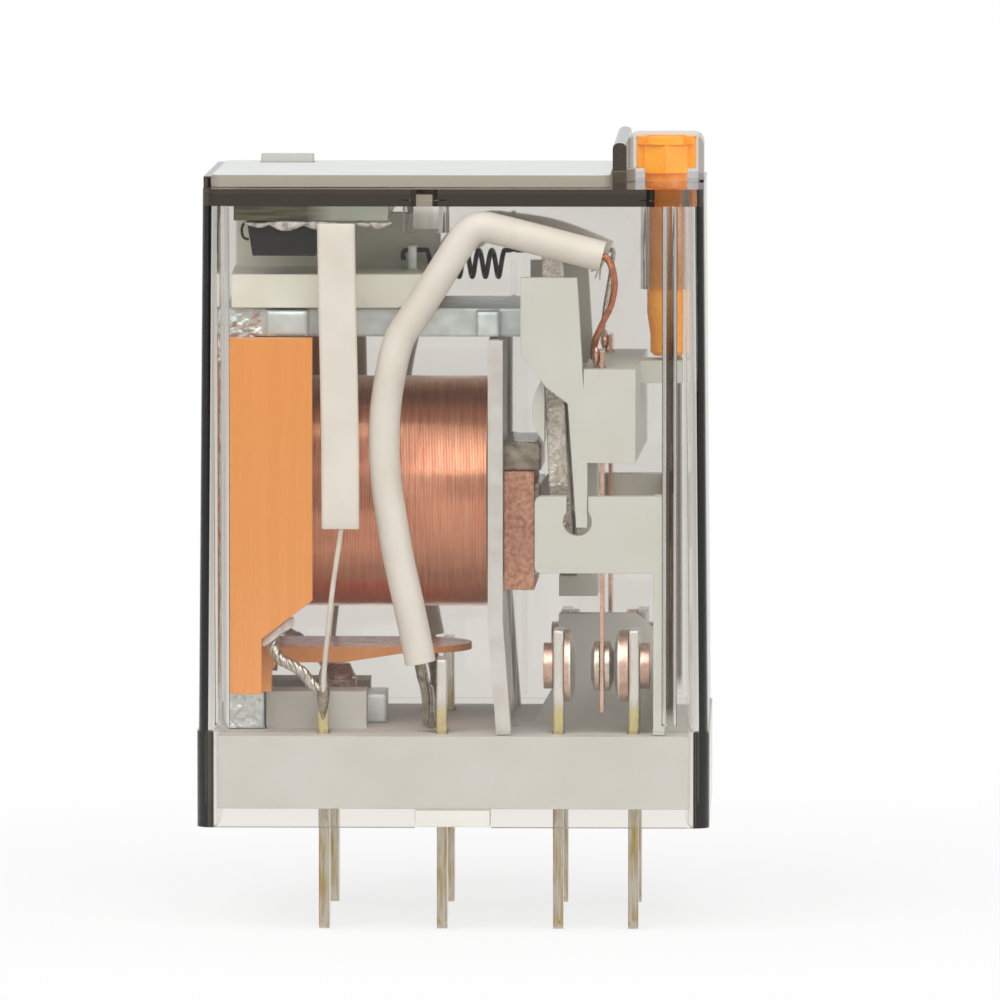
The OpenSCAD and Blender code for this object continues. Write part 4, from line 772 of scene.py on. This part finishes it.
# The front one hangs in a bow, and the rear one is pulled straight and its tin is whole
PIGTAILS = {"front": (BOWED, 16, 0.15 * MM, strand_copper), "rear": (TAUT, 9, 0.09 * MM, tinned_wire)}
for where, side in SIDES.items():
    bow, strands, bundle_r, finish = PIGTAILS[where]
    route = [Vector((x, side * (INNER_Y - d), PIVOT_Z + h)) * MM for x, d, h in bow]
    pigtail = grow(f"pigtail_strands_{where}", route, strand_tree, "armature_set", Strands=strands,
                   Bundle=bundle_r, Radius=0.05 * MM, Lay=9 * MM, Step=0.12 * MM, Wander=0.05 * MM,
                   Seed=4 + side, Finish=finish)
    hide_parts(f"pigtail_{where}")

# %% Tails and coil leads
TAIL = [(-1.86, 1.18, 14.3), (-1.8, 1.2, 13.1), (-1.66, 1.4, 10.4), (-1.45, 1.8, 6.8), (-1.39, 2.2, 3.4),
        (-1.39, 2.4, 1)]
COIL_LEAD = [(-9.8, 1.5, 17.5), (-9.66, 1.4, 15.7), (-9.31, 1.25, 14.1), (-8.69, 1.15, 12.9),
             (-8.09, 1.1, 11.5), (-7.74, 1.1, 9.8), (-7.3, 1.1, 8.2)]
# Tin that was overheated at a joint: dull and brown
sooty_tin = metal("overheated_tin", "#B9AC9A", "#75685A", 0.34, cloud=0.3, grit=0.1, relief=0.004,
                  edge=0.02)
for where, side in SIDES.items():
    tail = grow(f"lead_tail_strands_{where}", in_room(TAIL, side), strand_tree, "frame_and_case",
                Strands=14, Bundle=0.3 * MM, Radius=0.075 * MM, Lay=14 * MM, Step=0.15 * MM,
                Wander=0.04 * MM, Seed=8 + side, Finish=sooty_tin)
    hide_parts(f"lead_tail_{where}")
    coil_lead = grow(f"coil_lead_twist_{where}", in_room(COIL_LEAD, side), strand_tree, "frame_and_case",
                     Strands=5, Bundle=0.22 * MM, Radius=0.14 * MM, Lay=1.6 * MM, Step=0.06 * MM,
                     Wander=0.03 * MM, Seed=11 + side, Finish=tinned_wire)
    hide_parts(f"coil_lead_{where}")

# %% [markdown]
# ## The module's wires and the return spring
# Both are single wires, so they use the first tree. The spring could be a Screw modifier on a circle,
# but then its hooks would be separate pieces. Here its route is a helix with a hook at each end. In
# motion it stretches between the yoke's post and the armature's tail.

# %% Module wires
MODULE_WIRE = [(-6.04, 0.4, 43), (-6.06, 0.4, 38.9), (-6.46, 0.45, 28.8), (-6.78, 0.65, 19.1),
               (-7.02, 1, 10.1), (-7.02, 1.2, 6)]
# Thin wire with a pale, waxy coat
pale_wire = moulded("pale_coated_wire", "#DED5C8", "#CFC5B6", 0.3, grain=0.1, relief=0.003, drift=1.5,
                    edge=0.02)
for where, side in SIDES.items():
    wire = grow(f"module_wire_round_{where}", in_room(MODULE_WIRE, side), wire_tree, "frame_and_case",
                Radius=0.14 * MM, Sides=16, Step=0.2 * MM, Wander=0.06 * MM, Seed=6.0 + side,
                Finish=pale_wire)
    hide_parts(f"module_wire_{where}")

# %% Return spring
SPRING_X, SPRING_Z, SPRING_R, SPRING_PITCH, SPRING_TURNS = -1.7, 29.95, 0.73, 0.7, 6
SPRING_WIRE_R, HOOK_DROP, HOOK_BEND = 0.135, 0.55, 0.15
STEPS = 20  # points in each turn
low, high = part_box("return_spring")
left, right, hook = low.x / MM + 0.14, high.x / MM - 0.14, SPRING_Z + SPRING_R
end_x = SPRING_X + SPRING_PITCH * SPRING_TURNS
helix = [(left, 0, hook - HOOK_DROP), (left, 0, hook - HOOK_BEND), (left + HOOK_BEND, 0, hook),
         (SPRING_X - 0.5, 0, hook)]
for i in range(STEPS * SPRING_TURNS + 1):
    angle = 2 * math.pi * i / STEPS
    helix.append((SPRING_X + SPRING_PITCH * i / STEPS, SPRING_R * math.sin(angle),
                  SPRING_Z + SPRING_R * math.cos(angle)))
helix += [(end_x + 0.5, 0, hook), (right - HOOK_BEND, 0, hook), (right, 0, hook - HOOK_BEND),
          (right, 0, hook - HOOK_DROP)]
spring = grow("return_spring_wire", [Vector(p) * MM for p in helix], wire_tree, None,
              Radius=SPRING_WIRE_R * MM, Sides=10, Step=0.09 * MM, Wander=0.0, Seed=0.0,
              Finish=spring_black)
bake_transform(spring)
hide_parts("return_spring")

# %% [markdown]
# ## The winding
# The real coil has thousands of turns of hair-thin wire. Only the outer layer shows: fine upright
# lines that wander a little, because each turn lies where the one below let it. A bump texture on a
# cylinder would lose the broken highlight, so a spiral of 136 real turns with a jitter from noise
# gives those lines. It is drawn coarser than the real wire, so that the lines still show at this
# size.

# %% Tree: a layer of turns
JITTER, JITTER_SIZE, JITTER_SEED = 0.016 * MM, 0.11 * MM, 7.0
layer_tree, size = new_tree("layer_of_turns", {
    "Turns": "Float", "Outer Radius": "Float", "Length": "Float", "Start": "Vector",
    "Wire Radius": "Float", "Wander": "Float", "Seed": "Float", "Finish": "Material"})
spiral = add(layer_tree, "GeometryNodeCurveSpiral",
             {"Resolution": 72, "Rotations": size["Turns"], "Start Radius": size["Outer Radius"],
              "End Radius": size["Outer Radius"], "Height": size["Length"]})
laid = add(layer_tree, "GeometryNodeTransform",
           {"Geometry": spiral.outputs[0], "Translation": size["Start"], "Rotation": (0, math.pi / 2, 0)})
curve = wander(layer_tree, laid.outputs[0], size["Wander"], 1 / (1.4 * MM), size["Seed"])
curve = wander(layer_tree, curve, JITTER, 1 / JITTER_SIZE, JITTER_SEED)
section = add(layer_tree, "GeometryNodeCurvePrimitiveCircle",
              {"Resolution": 6, "Radius": size["Wire Radius"]})
turns = add(layer_tree, "GeometryNodeCurveToMesh",
            {"Curve": curve, "Profile Curve": section.outputs[0], "Fill Caps": True})
# A plain cylinder just under the turns closes the gaps between them
under_r = add(layer_tree, "ShaderNodeMath", {0: size["Outer Radius"], 1: 0.03 * MM}, operation="SUBTRACT")
under = add(layer_tree, "GeometryNodeMeshCylinder",
            {"Vertices": 96, "Radius": under_r.outputs[0], "Depth": size["Length"]})
half = add(layer_tree, "ShaderNodeMath", {0: size["Length"], 1: 2.0}, operation="DIVIDE")
middle = add(layer_tree, "ShaderNodeCombineXYZ", {"X": half.outputs[0]})
there = add(layer_tree, "ShaderNodeVectorMath", {0: size["Start"], 1: middle.outputs[0]}, operation="ADD")
inner = add(layer_tree, "GeometryNodeTransform",
            {"Geometry": under.outputs[0], "Translation": there.outputs[0],
             "Rotation": (0, math.pi / 2, 0)})
both = add(layer_tree, "GeometryNodeJoinGeometry", {0: turns.outputs[0]})
layer_tree.links.new(inner.outputs[0], both.inputs[0])
end_tree(layer_tree, both.outputs[0], size["Finish"])
print("tree:", layer_tree.name, len(layer_tree.nodes), "nodes")

# %% Winding
END_GAP = 0.08 * MM  # between the last turn and the bobbin's wall
low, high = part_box("winding_turns")
body_low, body_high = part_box("winding_body")
axis_z = (body_low.z + body_high.z) / 2
winding_r = (high.z - low.z) / 2
winding = grow("winding_layer", [Vector((0, 0, 0)), Vector((MM, 0, 0))], layer_tree, "frame_and_case",
               Turns=136.0, Outer_Radius=winding_r - 0.065 * MM,
               Length=body_high.x - body_low.x - 2 * END_GAP, Start=(body_low.x + END_GAP, 0, axis_z),
               Wire_Radius=0.048 * MM, Wander=0.03 * MM, Seed=2.0, Finish=winding_copper)
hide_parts("winding_body", "winding_turns")
print("winding:", round(winding_r / MM, 2), "mm radius,",
      round((body_high.x - body_low.x) / MM, 2), "mm long")

# %% [markdown]
# ## Soldered joints
# Where a wire meets a blade there is a drop of solder, thick in the middle and drawn out to a feather
# edge. Metaballs could make such drops, but their edges are hard to place. So each drop is a short
# loft of rings whose width and place follow a given profile, roughened with noise so that no two
# are alike.

# %% Lofted pieces
def loft(name, rings, finish, body="frame_and_case", rounding=1):
    """A closed piece through rings of points in millimetres, all with the same number of points."""
    work = bmesh.new()
    rows = [[work.verts.new(Vector(p) * MM) for p in ring] for ring in rings]
    for row, following in zip(rows, rows[1:]):
        for a, b, c, d in zip(row, row[1:] + row[:1], following[1:] + following[:1], following):
            work.faces.new((a, b, c, d))
    work.faces.new(rows[0][::-1])
    work.faces.new(rows[-1])
    bmesh.ops.recalc_face_normals(work, faces=work.faces)
    mesh = bpy.data.meshes.new(name)
    work.to_mesh(mesh)
    work.free()
    mesh.polygons.foreach_set("use_smooth", [True] * len(mesh.polygons))
    mesh.materials.append(finish)
    piece = bpy.data.objects.new(name, mesh)
    bpy.context.scene.collection.objects.link(piece)
    if rounding:
        round_off = piece.modifiers.new("round", "SUBSURF")
        round_off.levels = round_off.render_levels = rounding
    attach(piece, body)
    print(f"{name}: {len(rings)} rings")
    return piece


def lump_rings(path, radii, sides=14, lumps=0.22):
    """Rings about a path in millimetres, with a radius at each point and uneven all round."""
    rings = []
    for i, (centre, radius) in enumerate(zip(path, radii)):
        ahead = (Vector(path[min(i + 1, len(path) - 1)]) - Vector(path[max(i - 1, 0)])).normalized()
        sideways = ahead.cross(Vector((0, 1, 0))).normalized()
        outward = ahead.cross(sideways)
        ring = []
        for s in range(sides):
            angle = 2 * math.pi * s / sides
            way = sideways * math.cos(angle) + outward * math.sin(angle)
            uneven = 1 + lumps * noise.noise((Vector(centre) + way * radius) * 2.2)
            ring.append(Vector(centre) + way * radius * uneven)
        rings.append(ring)
    return rings


print("points in a ring:", len(lump_rings([(0, 0, 0), (0, 0, 1)], (0.3, 0.3))[0]))

# %% Solder
PROFILE = (0.05, 0.2, 0.29, 0.33, 0.3, 0.2, 0.04)
LEAF_PROFILE = (0.04, 0.18, 0.22, 0.22, 0.18, 0.05)
for where, side in SIDES.items():
    on_coil_pin = [(-7.05, side * 8.1, 8.75 - 0.52 * i) for i in range(7)]
    loft(f"solder_coil_pin_{where}", lump_rings(on_coil_pin, [r * 1.15 for r in PROFILE]), sooty_tin)
    on_common_pin = [(-1.25 + 0.05 * i, side * (7.55 - 0.12 * i), 7.6 - 0.42 * i) for i in range(7)]
    loft(f"solder_common_pin_{where}", lump_rings(on_common_pin, [r * 1.1 for r in PROFILE]), solder)
    on_leaf = [(7.62, side * (7.3 - 0.05 * i), 25.9 - 0.24 * i) for i in range(6)]
    loft(f"solder_leaf_{where}", lump_rings(on_leaf, LEAF_PROFILE), contact_copper, body="armature_set")

# %% [markdown]
# ## Flat sleeves of the module
# Two flat sleeves hang from the board, one in front and one behind, and lead a thin wire each to the
# coil's blades. They were cut from extruded flat tube, so the edges are round, the lower end is open
# and the long sides bow a little. A box with bevelled edges would stay too straight, so a stack of
# rounded rings makes that shape.

# %% Sleeves
PLAY, CORNER, CORNER_STEPS = 0.03, 0.22, 5
BOW, LEAN = 0.03, 0.19
HOLE_INSET = 0.16


def sleeve_ring(low, high, share, inset=0.0):
    """A rounded oblong in plan, in millimetres, at a share of the sleeve's height."""
    half_x, half_y = ((high - low) / 2 / MM)[:2]
    half_x, half_y = half_x - PLAY - inset, half_y - PLAY - inset
    middle = (low + high) / 2 / MM
    z = low.z / MM + (high.z - low.z) / MM * share
    x = middle.x + BOW * math.sin(5.1 * share) + LEAN * (0.5 - share)
    r = max(min(CORNER - inset, half_y), 0.02)
    ring = []
    for quarter, (sx, sy) in enumerate(((1, 1), (-1, 1), (-1, -1), (1, -1))):
        for i in range(CORNER_STEPS + 1):
            a = math.pi / 2 * (quarter + i / CORNER_STEPS)
            ring.append((x + sx * (half_x - r) + r * math.cos(a),
                         middle.y + sy * (half_y - r) + r * math.sin(a), z))
    return ring


for where in SIDES:
    low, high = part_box(f"module_sleeve_{where}")
    inside = [(0.04, HOLE_INSET), (0.0, HOLE_INSET)]
    outside = [(0.0, 0.02), (0.003, 0.0), *((i / 24, 0.0) for i in range(1, 24)), (0.997, 0.0), (1.0, 0.02)]
    rings = [sleeve_ring(low, high, share, inset) for share, inset in inside + outside]
    sleeve = loft(f"flat_sleeve_{where}", rings, lead_silicone, rounding=0)
    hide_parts(f"module_sleeve_{where}")

# %% [markdown]
# ## Joints under the board, and loose ends
# The module was soldered by hand: a row of uneven drops hangs under the front edge of its board, the
# black component keeps a loop of its lead, and a strip of thin film guards the wire that leaves the
# winding. They could be left out, but such small pieces tell the eye that people made the thing. The
# functions for solder and wires make them too.

# %% Board joints
# Flux on hand-made joints: a whitish, glassy skin
fluxed_solder = moulded("flux_on_solder", "#D9D3C9", "#8F877C", 0.24, grain=0.12, relief=0.02,
                        drift=0.35, edge=0.02)
# Each joint's left end, length and thickness in millimetres
JOINTS = ((-11.3, 1.5, 0.15), (-10.1, 2.3, 0.25), (-8.4, 2.1, 0.2), (-5.3, 1.0, 0.13), (-4.6, 1.3, 0.2))
ALONG_JOINT = (0.0, 0.15, 0.35, 0.6, 0.85, 1.0)
JOINT_PROFILE = (0.25, 0.8, 1.1, 0.95, 0.7, 0.2)
board_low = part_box("module_board")[0]
edge_y, under_z = board_low.y / MM + 0.22, board_low.z / MM
for number, (x, length, fat) in enumerate(JOINTS):
    path = [(x + length * t, edge_y + 0.05 * math.sin(3 * t + number),
             under_z - 0.12 - 0.14 * math.sin(math.pi * t)) for t in ALONG_JOINT]
    rings = lump_rings(path, [fat * r for r in JOINT_PROFILE], lumps=0.9)
    loft(f"board_joint_{number}", rings, fluxed_solder)

# %% Lead loop and film
diode_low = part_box("module_diode")[0]
loop_x, loop_y = diode_low.x / MM, diode_low.y / MM + 0.35
LOOP = ((0.1, 32.55), (-0.12, 32.5), (-0.26, 32.3), (-0.28, 32.0), (-0.18, 31.72), (0.1, 31.6))
loop = grow("diode_lead_loop", [Vector((loop_x + dx, loop_y, z)) * MM for dx, z in LOOP], wire_tree,
            "frame_and_case", Radius=0.075 * MM, Sides=12, Step=0.05 * MM, Wander=0.0, Seed=0.0,
            Finish=spring_black)

FILM = [(-8.55, 11.1), (-8.9, 10.85), (-9.3, 10.6), (-9.7, 10.3), (-10.05, 10.05), (-10.4, 9.75)]
FILM_Y = -8.35
# Thin polyester film: white, glossy and a little cloudy
film_white = moulded("white_insulating_film", "#E3DCD6", "#C6BDB6", 0.28, grain=0.3, relief=0.01,
                     drift=0.7, edge=0.02)
film_rings = []
for i, (x, z) in enumerate(FILM):
    half = 0.3 + 0.08 * math.sin(2.3 * i)
    curl = FILM_Y + 0.12 * math.sin(1.7 * i)
    film_rings.append([(x, curl, z + half), (x, curl - 0.1, z), (x, curl, z - half),
                       (x, curl + 0.05, z - half), (x, curl - 0.05, z), (x, curl + 0.05, z + half)])
loft("winding_film", film_rings, film_white)

# %% Stray strands
# How far each strand reaches along and down from the lead's end, and how it bends
STRAYS = ((-0.35, -0.75, 0.1), (-0.55, -0.4, 0.2), (-0.1, -0.85, -0.1))
start = Vector((7.95, -8.3, PIVOT_Z + 3.3))
for number, (dx, dz, bend) in enumerate(STRAYS):
    strand = [start, start + Vector((dx * 0.5 + bend * 0.2, 0.05 * number, dz * 0.4)),
              start + Vector((dx, 0.08 * number, dz))]
    stray = grow(f"stray_strand_{number}", [p * MM for p in strand], wire_tree, "armature_set",
                 Radius=0.04 * MM, Sides=8, Step=0.08 * MM, Wander=0.0, Seed=0.0, Finish=tinned_wire)

# %% [markdown]
# ## Stage, light and camera
# The relay stands on its blades on a white sweep. One large soft lamp high in front gives the broad
# highlight on the coil, and a weaker one from the right opens the shadows. A white room all round
# would veil the clear case with reflections, so the room behind the camera is darker. The camera is
# far away with a long lens, because a near one would spread the blades.

# %% Paper sweep
REACH = 9.0
floor_z = cad_box[0].z
corners = ((-REACH, -REACH), (REACH, -REACH), (REACH, REACH), (-REACH, REACH))
floor_mesh = bpy.data.meshes.new("floor")
floor_mesh.from_pydata([(x, y, floor_z) for x, y in corners], [], [(0, 1, 2, 3)])
floor = bpy.data.objects.new("floor", floor_mesh)
bpy.context.scene.collection.objects.link(floor)
# White paper: matt where the relay's shadow falls, and lit from behind to pure white farther out
paper, tree, place = blank_finish("white_paper_sweep")
floor_mesh.materials.append(paper)
print("floor at", round(floor_z / MM, 2), "mm")

# %% Paper as the case and the metal show it
ray = add(tree, "ShaderNodeLightPath").outputs
spot = add(tree, "ShaderNodeSeparateXYZ", {0: place}).outputs
# The paper is dimmer behind the relay and to its sides, so that edges stand out through the case
depth = add(tree, "ShaderNodeMapRange", {"Value": spot["Y"], 1: 0.0, 2: 0.12, 3: 1.0, 4: 0.8})
wide = add(tree, "ShaderNodeMath", {0: spot["X"]}, operation="ABSOLUTE")
deep = add(tree, "ShaderNodeMath", {0: spot["Y"]}, operation="ABSOLUTE")
deep = add(tree, "ShaderNodeMath", {0: deep.outputs[0], 1: 0.2}, operation="ADD")
slope = add(tree, "ShaderNodeMath", {0: wide.outputs[0], 1: deep.outputs[0]}, operation="DIVIDE")
aside = add(tree, "ShaderNodeMapRange", {"Value": slope.outputs[0], 1: 0.35, 2: 0.9, 3: 1.0, 4: 0.7})
behind = add(tree, "ShaderNodeMath", {0: depth.outputs[0], 1: aside.outputs[0]}, operation="MULTIPLY")
# The case mirrors the paper in front of it faintly, and the metal inside gets more of it
on_case = add(tree, "ShaderNodeMapRange", {"Value": spot["Y"], 1: -0.32, 2: -0.1, 3: 0.3, 4: 1.0})
in_case = add(tree, "ShaderNodeMapRange", {"Value": spot["Y"], 1: -0.6, 2: -0.2, 3: 0.6, 4: 1.0})
lit = ray["Is Camera Ray"]
for kind, front in (("Is Glossy Ray", on_case), ("Is Transmission Ray", in_case)):
    there = add(tree, "ShaderNodeMath", {0: behind.outputs[0], 1: front.outputs[0]}, operation="MULTIPLY")
    seen = add(tree, "ShaderNodeMath", {0: ray[kind], 1: there.outputs[0]}, operation="MULTIPLY")
    lit = add(tree, "ShaderNodeMath", {0: lit, 1: seen.outputs[0]}, operation="MAXIMUM").outputs[0]
print("paper:", len(tree.nodes), "nodes so far")

# %% Paper as the camera sees it
far = add(tree, "ShaderNodeVectorMath", {0: place}, operation="LENGTH").outputs["Value"]
unshaded = add(tree, "ShaderNodeMapRange", {"Value": far, 1: 0.03, 2: 0.09, 3: 0.78, 4: 1.0})
to_camera = add(tree, "ShaderNodeMath", {0: ray["Is Camera Ray"], 1: unshaded.outputs[0]},
                operation="MULTIPLY")
bent = add(tree, "ShaderNodeMath", {0: ray["Is Glossy Ray"], 1: ray["Is Transmission Ray"]},
           operation="MAXIMUM")
share = add(tree, "ShaderNodeMath", {0: to_camera.outputs[0], 1: bent.outputs[0]}, operation="MAXIMUM")
# The paper looks a little warm through the case and on metal, and pure white beside them
tone = add(tree, "ShaderNodeMix", {0: ray["Is Camera Ray"], 6: linear("#FFFCF7"), 7: linear("#FFFFFF")},
           data_type="RGBA")
matt = add(tree, "ShaderNodeBsdfDiffuse", {"Color": linear("#E1E1E1")})
white = add(tree, "ShaderNodeEmission", {"Color": tone.outputs[2], "Strength": lit})
sheet = add(tree, "ShaderNodeMixShader", {0: share.outputs[0], 1: matt.outputs[0], 2: white.outputs[0]})
add(tree, "ShaderNodeOutputMaterial", {"Surface": sheet.outputs[0]})
paper.cycles.emission_sampling = "NONE"
print("paper:", len(tree.nodes), "nodes")

# %% Room
DIM, AMBIENT = 0.22, 0.72
room = bpy.data.worlds.new("studio_room")
room.use_nodes = True
tree = room.node_tree
tree.nodes.clear()
ray = add(tree, "ShaderNodeLightPath").outputs
way = add(tree, "ShaderNodeTexCoord").outputs["Generated"]
toward = add(tree, "ShaderNodeSeparateXYZ", {0: way}).outputs
# Through the case the room is pale ahead, behind the camera and at the sides, and dim between
ahead = add(tree, "ShaderNodeMapRange", {"Value": toward["Y"], 1: 0.3, 2: 0.85, 3: DIM, 4: 0.8})
back = add(tree, "ShaderNodeMapRange", {"Value": toward["Y"], 1: -0.7, 2: -0.35, 3: 0.6, 4: DIM})
wide = add(tree, "ShaderNodeMath", {0: toward["X"]}, operation="ABSOLUTE")
beside = add(tree, "ShaderNodeMapRange", {"Value": wide.outputs[0], 1: 0.5, 2: 0.9, 3: DIM, 4: 0.65})
overhead = add(tree, "ShaderNodeMapRange", {"Value": toward["Z"], 1: 0.7, 2: 0.95, 3: 1.0, 4: 0.4})
through = ahead
for part, operation in ((back, "MAXIMUM"), (beside, "MAXIMUM"), (overhead, "MULTIPLY")):
    through = add(tree, "ShaderNodeMath", {0: through.outputs[0], 1: part.outputs[0]}, operation=operation)
# Metal mirrors a pale room that is darker straight behind the camera
mirrored = add(tree, "ShaderNodeMapRange", {"Value": toward["Y"], 1: -0.97, 2: -0.75, 3: 0.4, 4: 0.95})
level = add(tree, "ShaderNodeMix", {0: ray["Is Glossy Ray"], 2: AMBIENT, 3: mirrored.outputs[0]},
            data_type="FLOAT")
level = add(tree, "ShaderNodeMix",
            {0: ray["Is Transmission Ray"], 2: level.outputs[0], 3: through.outputs[0]}, data_type="FLOAT")
level = add(tree, "ShaderNodeMath", {0: level.outputs[0], 1: ray["Is Camera Ray"]}, operation="MAXIMUM")
glow = add(tree, "ShaderNodeBackground", {"Strength": level.outputs[0]})
add(tree, "ShaderNodeOutputWorld", {"Surface": glow.outputs[0]})
bpy.context.scene.world = room
print("room:", len(tree.nodes), "nodes")

# %% Lamps
MIDDLE = Vector((0, 0, 0.018))  # what the lamps face


def soft_lamp(name, place, width, height, power):
    """A soft lamp box that faces the relay, with its sizes in metres and its power in watts."""
    lamp = bpy.data.lights.new(name, "AREA")
    lamp.shape = "RECTANGLE"
    lamp.size, lamp.size_y = width, height
    lamp.energy = power
    holder = bpy.data.objects.new(name, lamp)
    bpy.context.scene.collection.objects.link(holder)
    holder.location = place
    holder.rotation_euler = (MIDDLE - Vector(place)).to_track_quat("-Z", "Y").to_euler()
    print(f"{name} lamp: {power} W")


soft_lamp("key", (-0.1, -0.44, 0.56), 0.9, 0.78, 5.9)
soft_lamp("fill", (0.5, -0.4, 0.1), 0.4, 0.4, 1.0)

# %% Camera
LINE_OF_SIGHT = Vector((-0.0257, 1.0, -0.07686))
lens = bpy.data.cameras.new("camera")
lens.sensor_width = 36.0
lens.lens = 429.08
lens.clip_start, lens.clip_end = 0.05, 50.0
camera = bpy.data.objects.new("camera", lens)
bpy.context.scene.collection.objects.link(camera)
camera.location = (0.019, -0.65035, 0.06696)
camera.rotation_euler = LINE_OF_SIGHT.to_track_quat("-Z", "Y").to_euler()
bpy.context.scene.camera = camera
bpy.context.scene.view_settings.view_transform = "Standard"
print("camera", [round(x, 4) for x in camera.location], "lens", lens.lens)
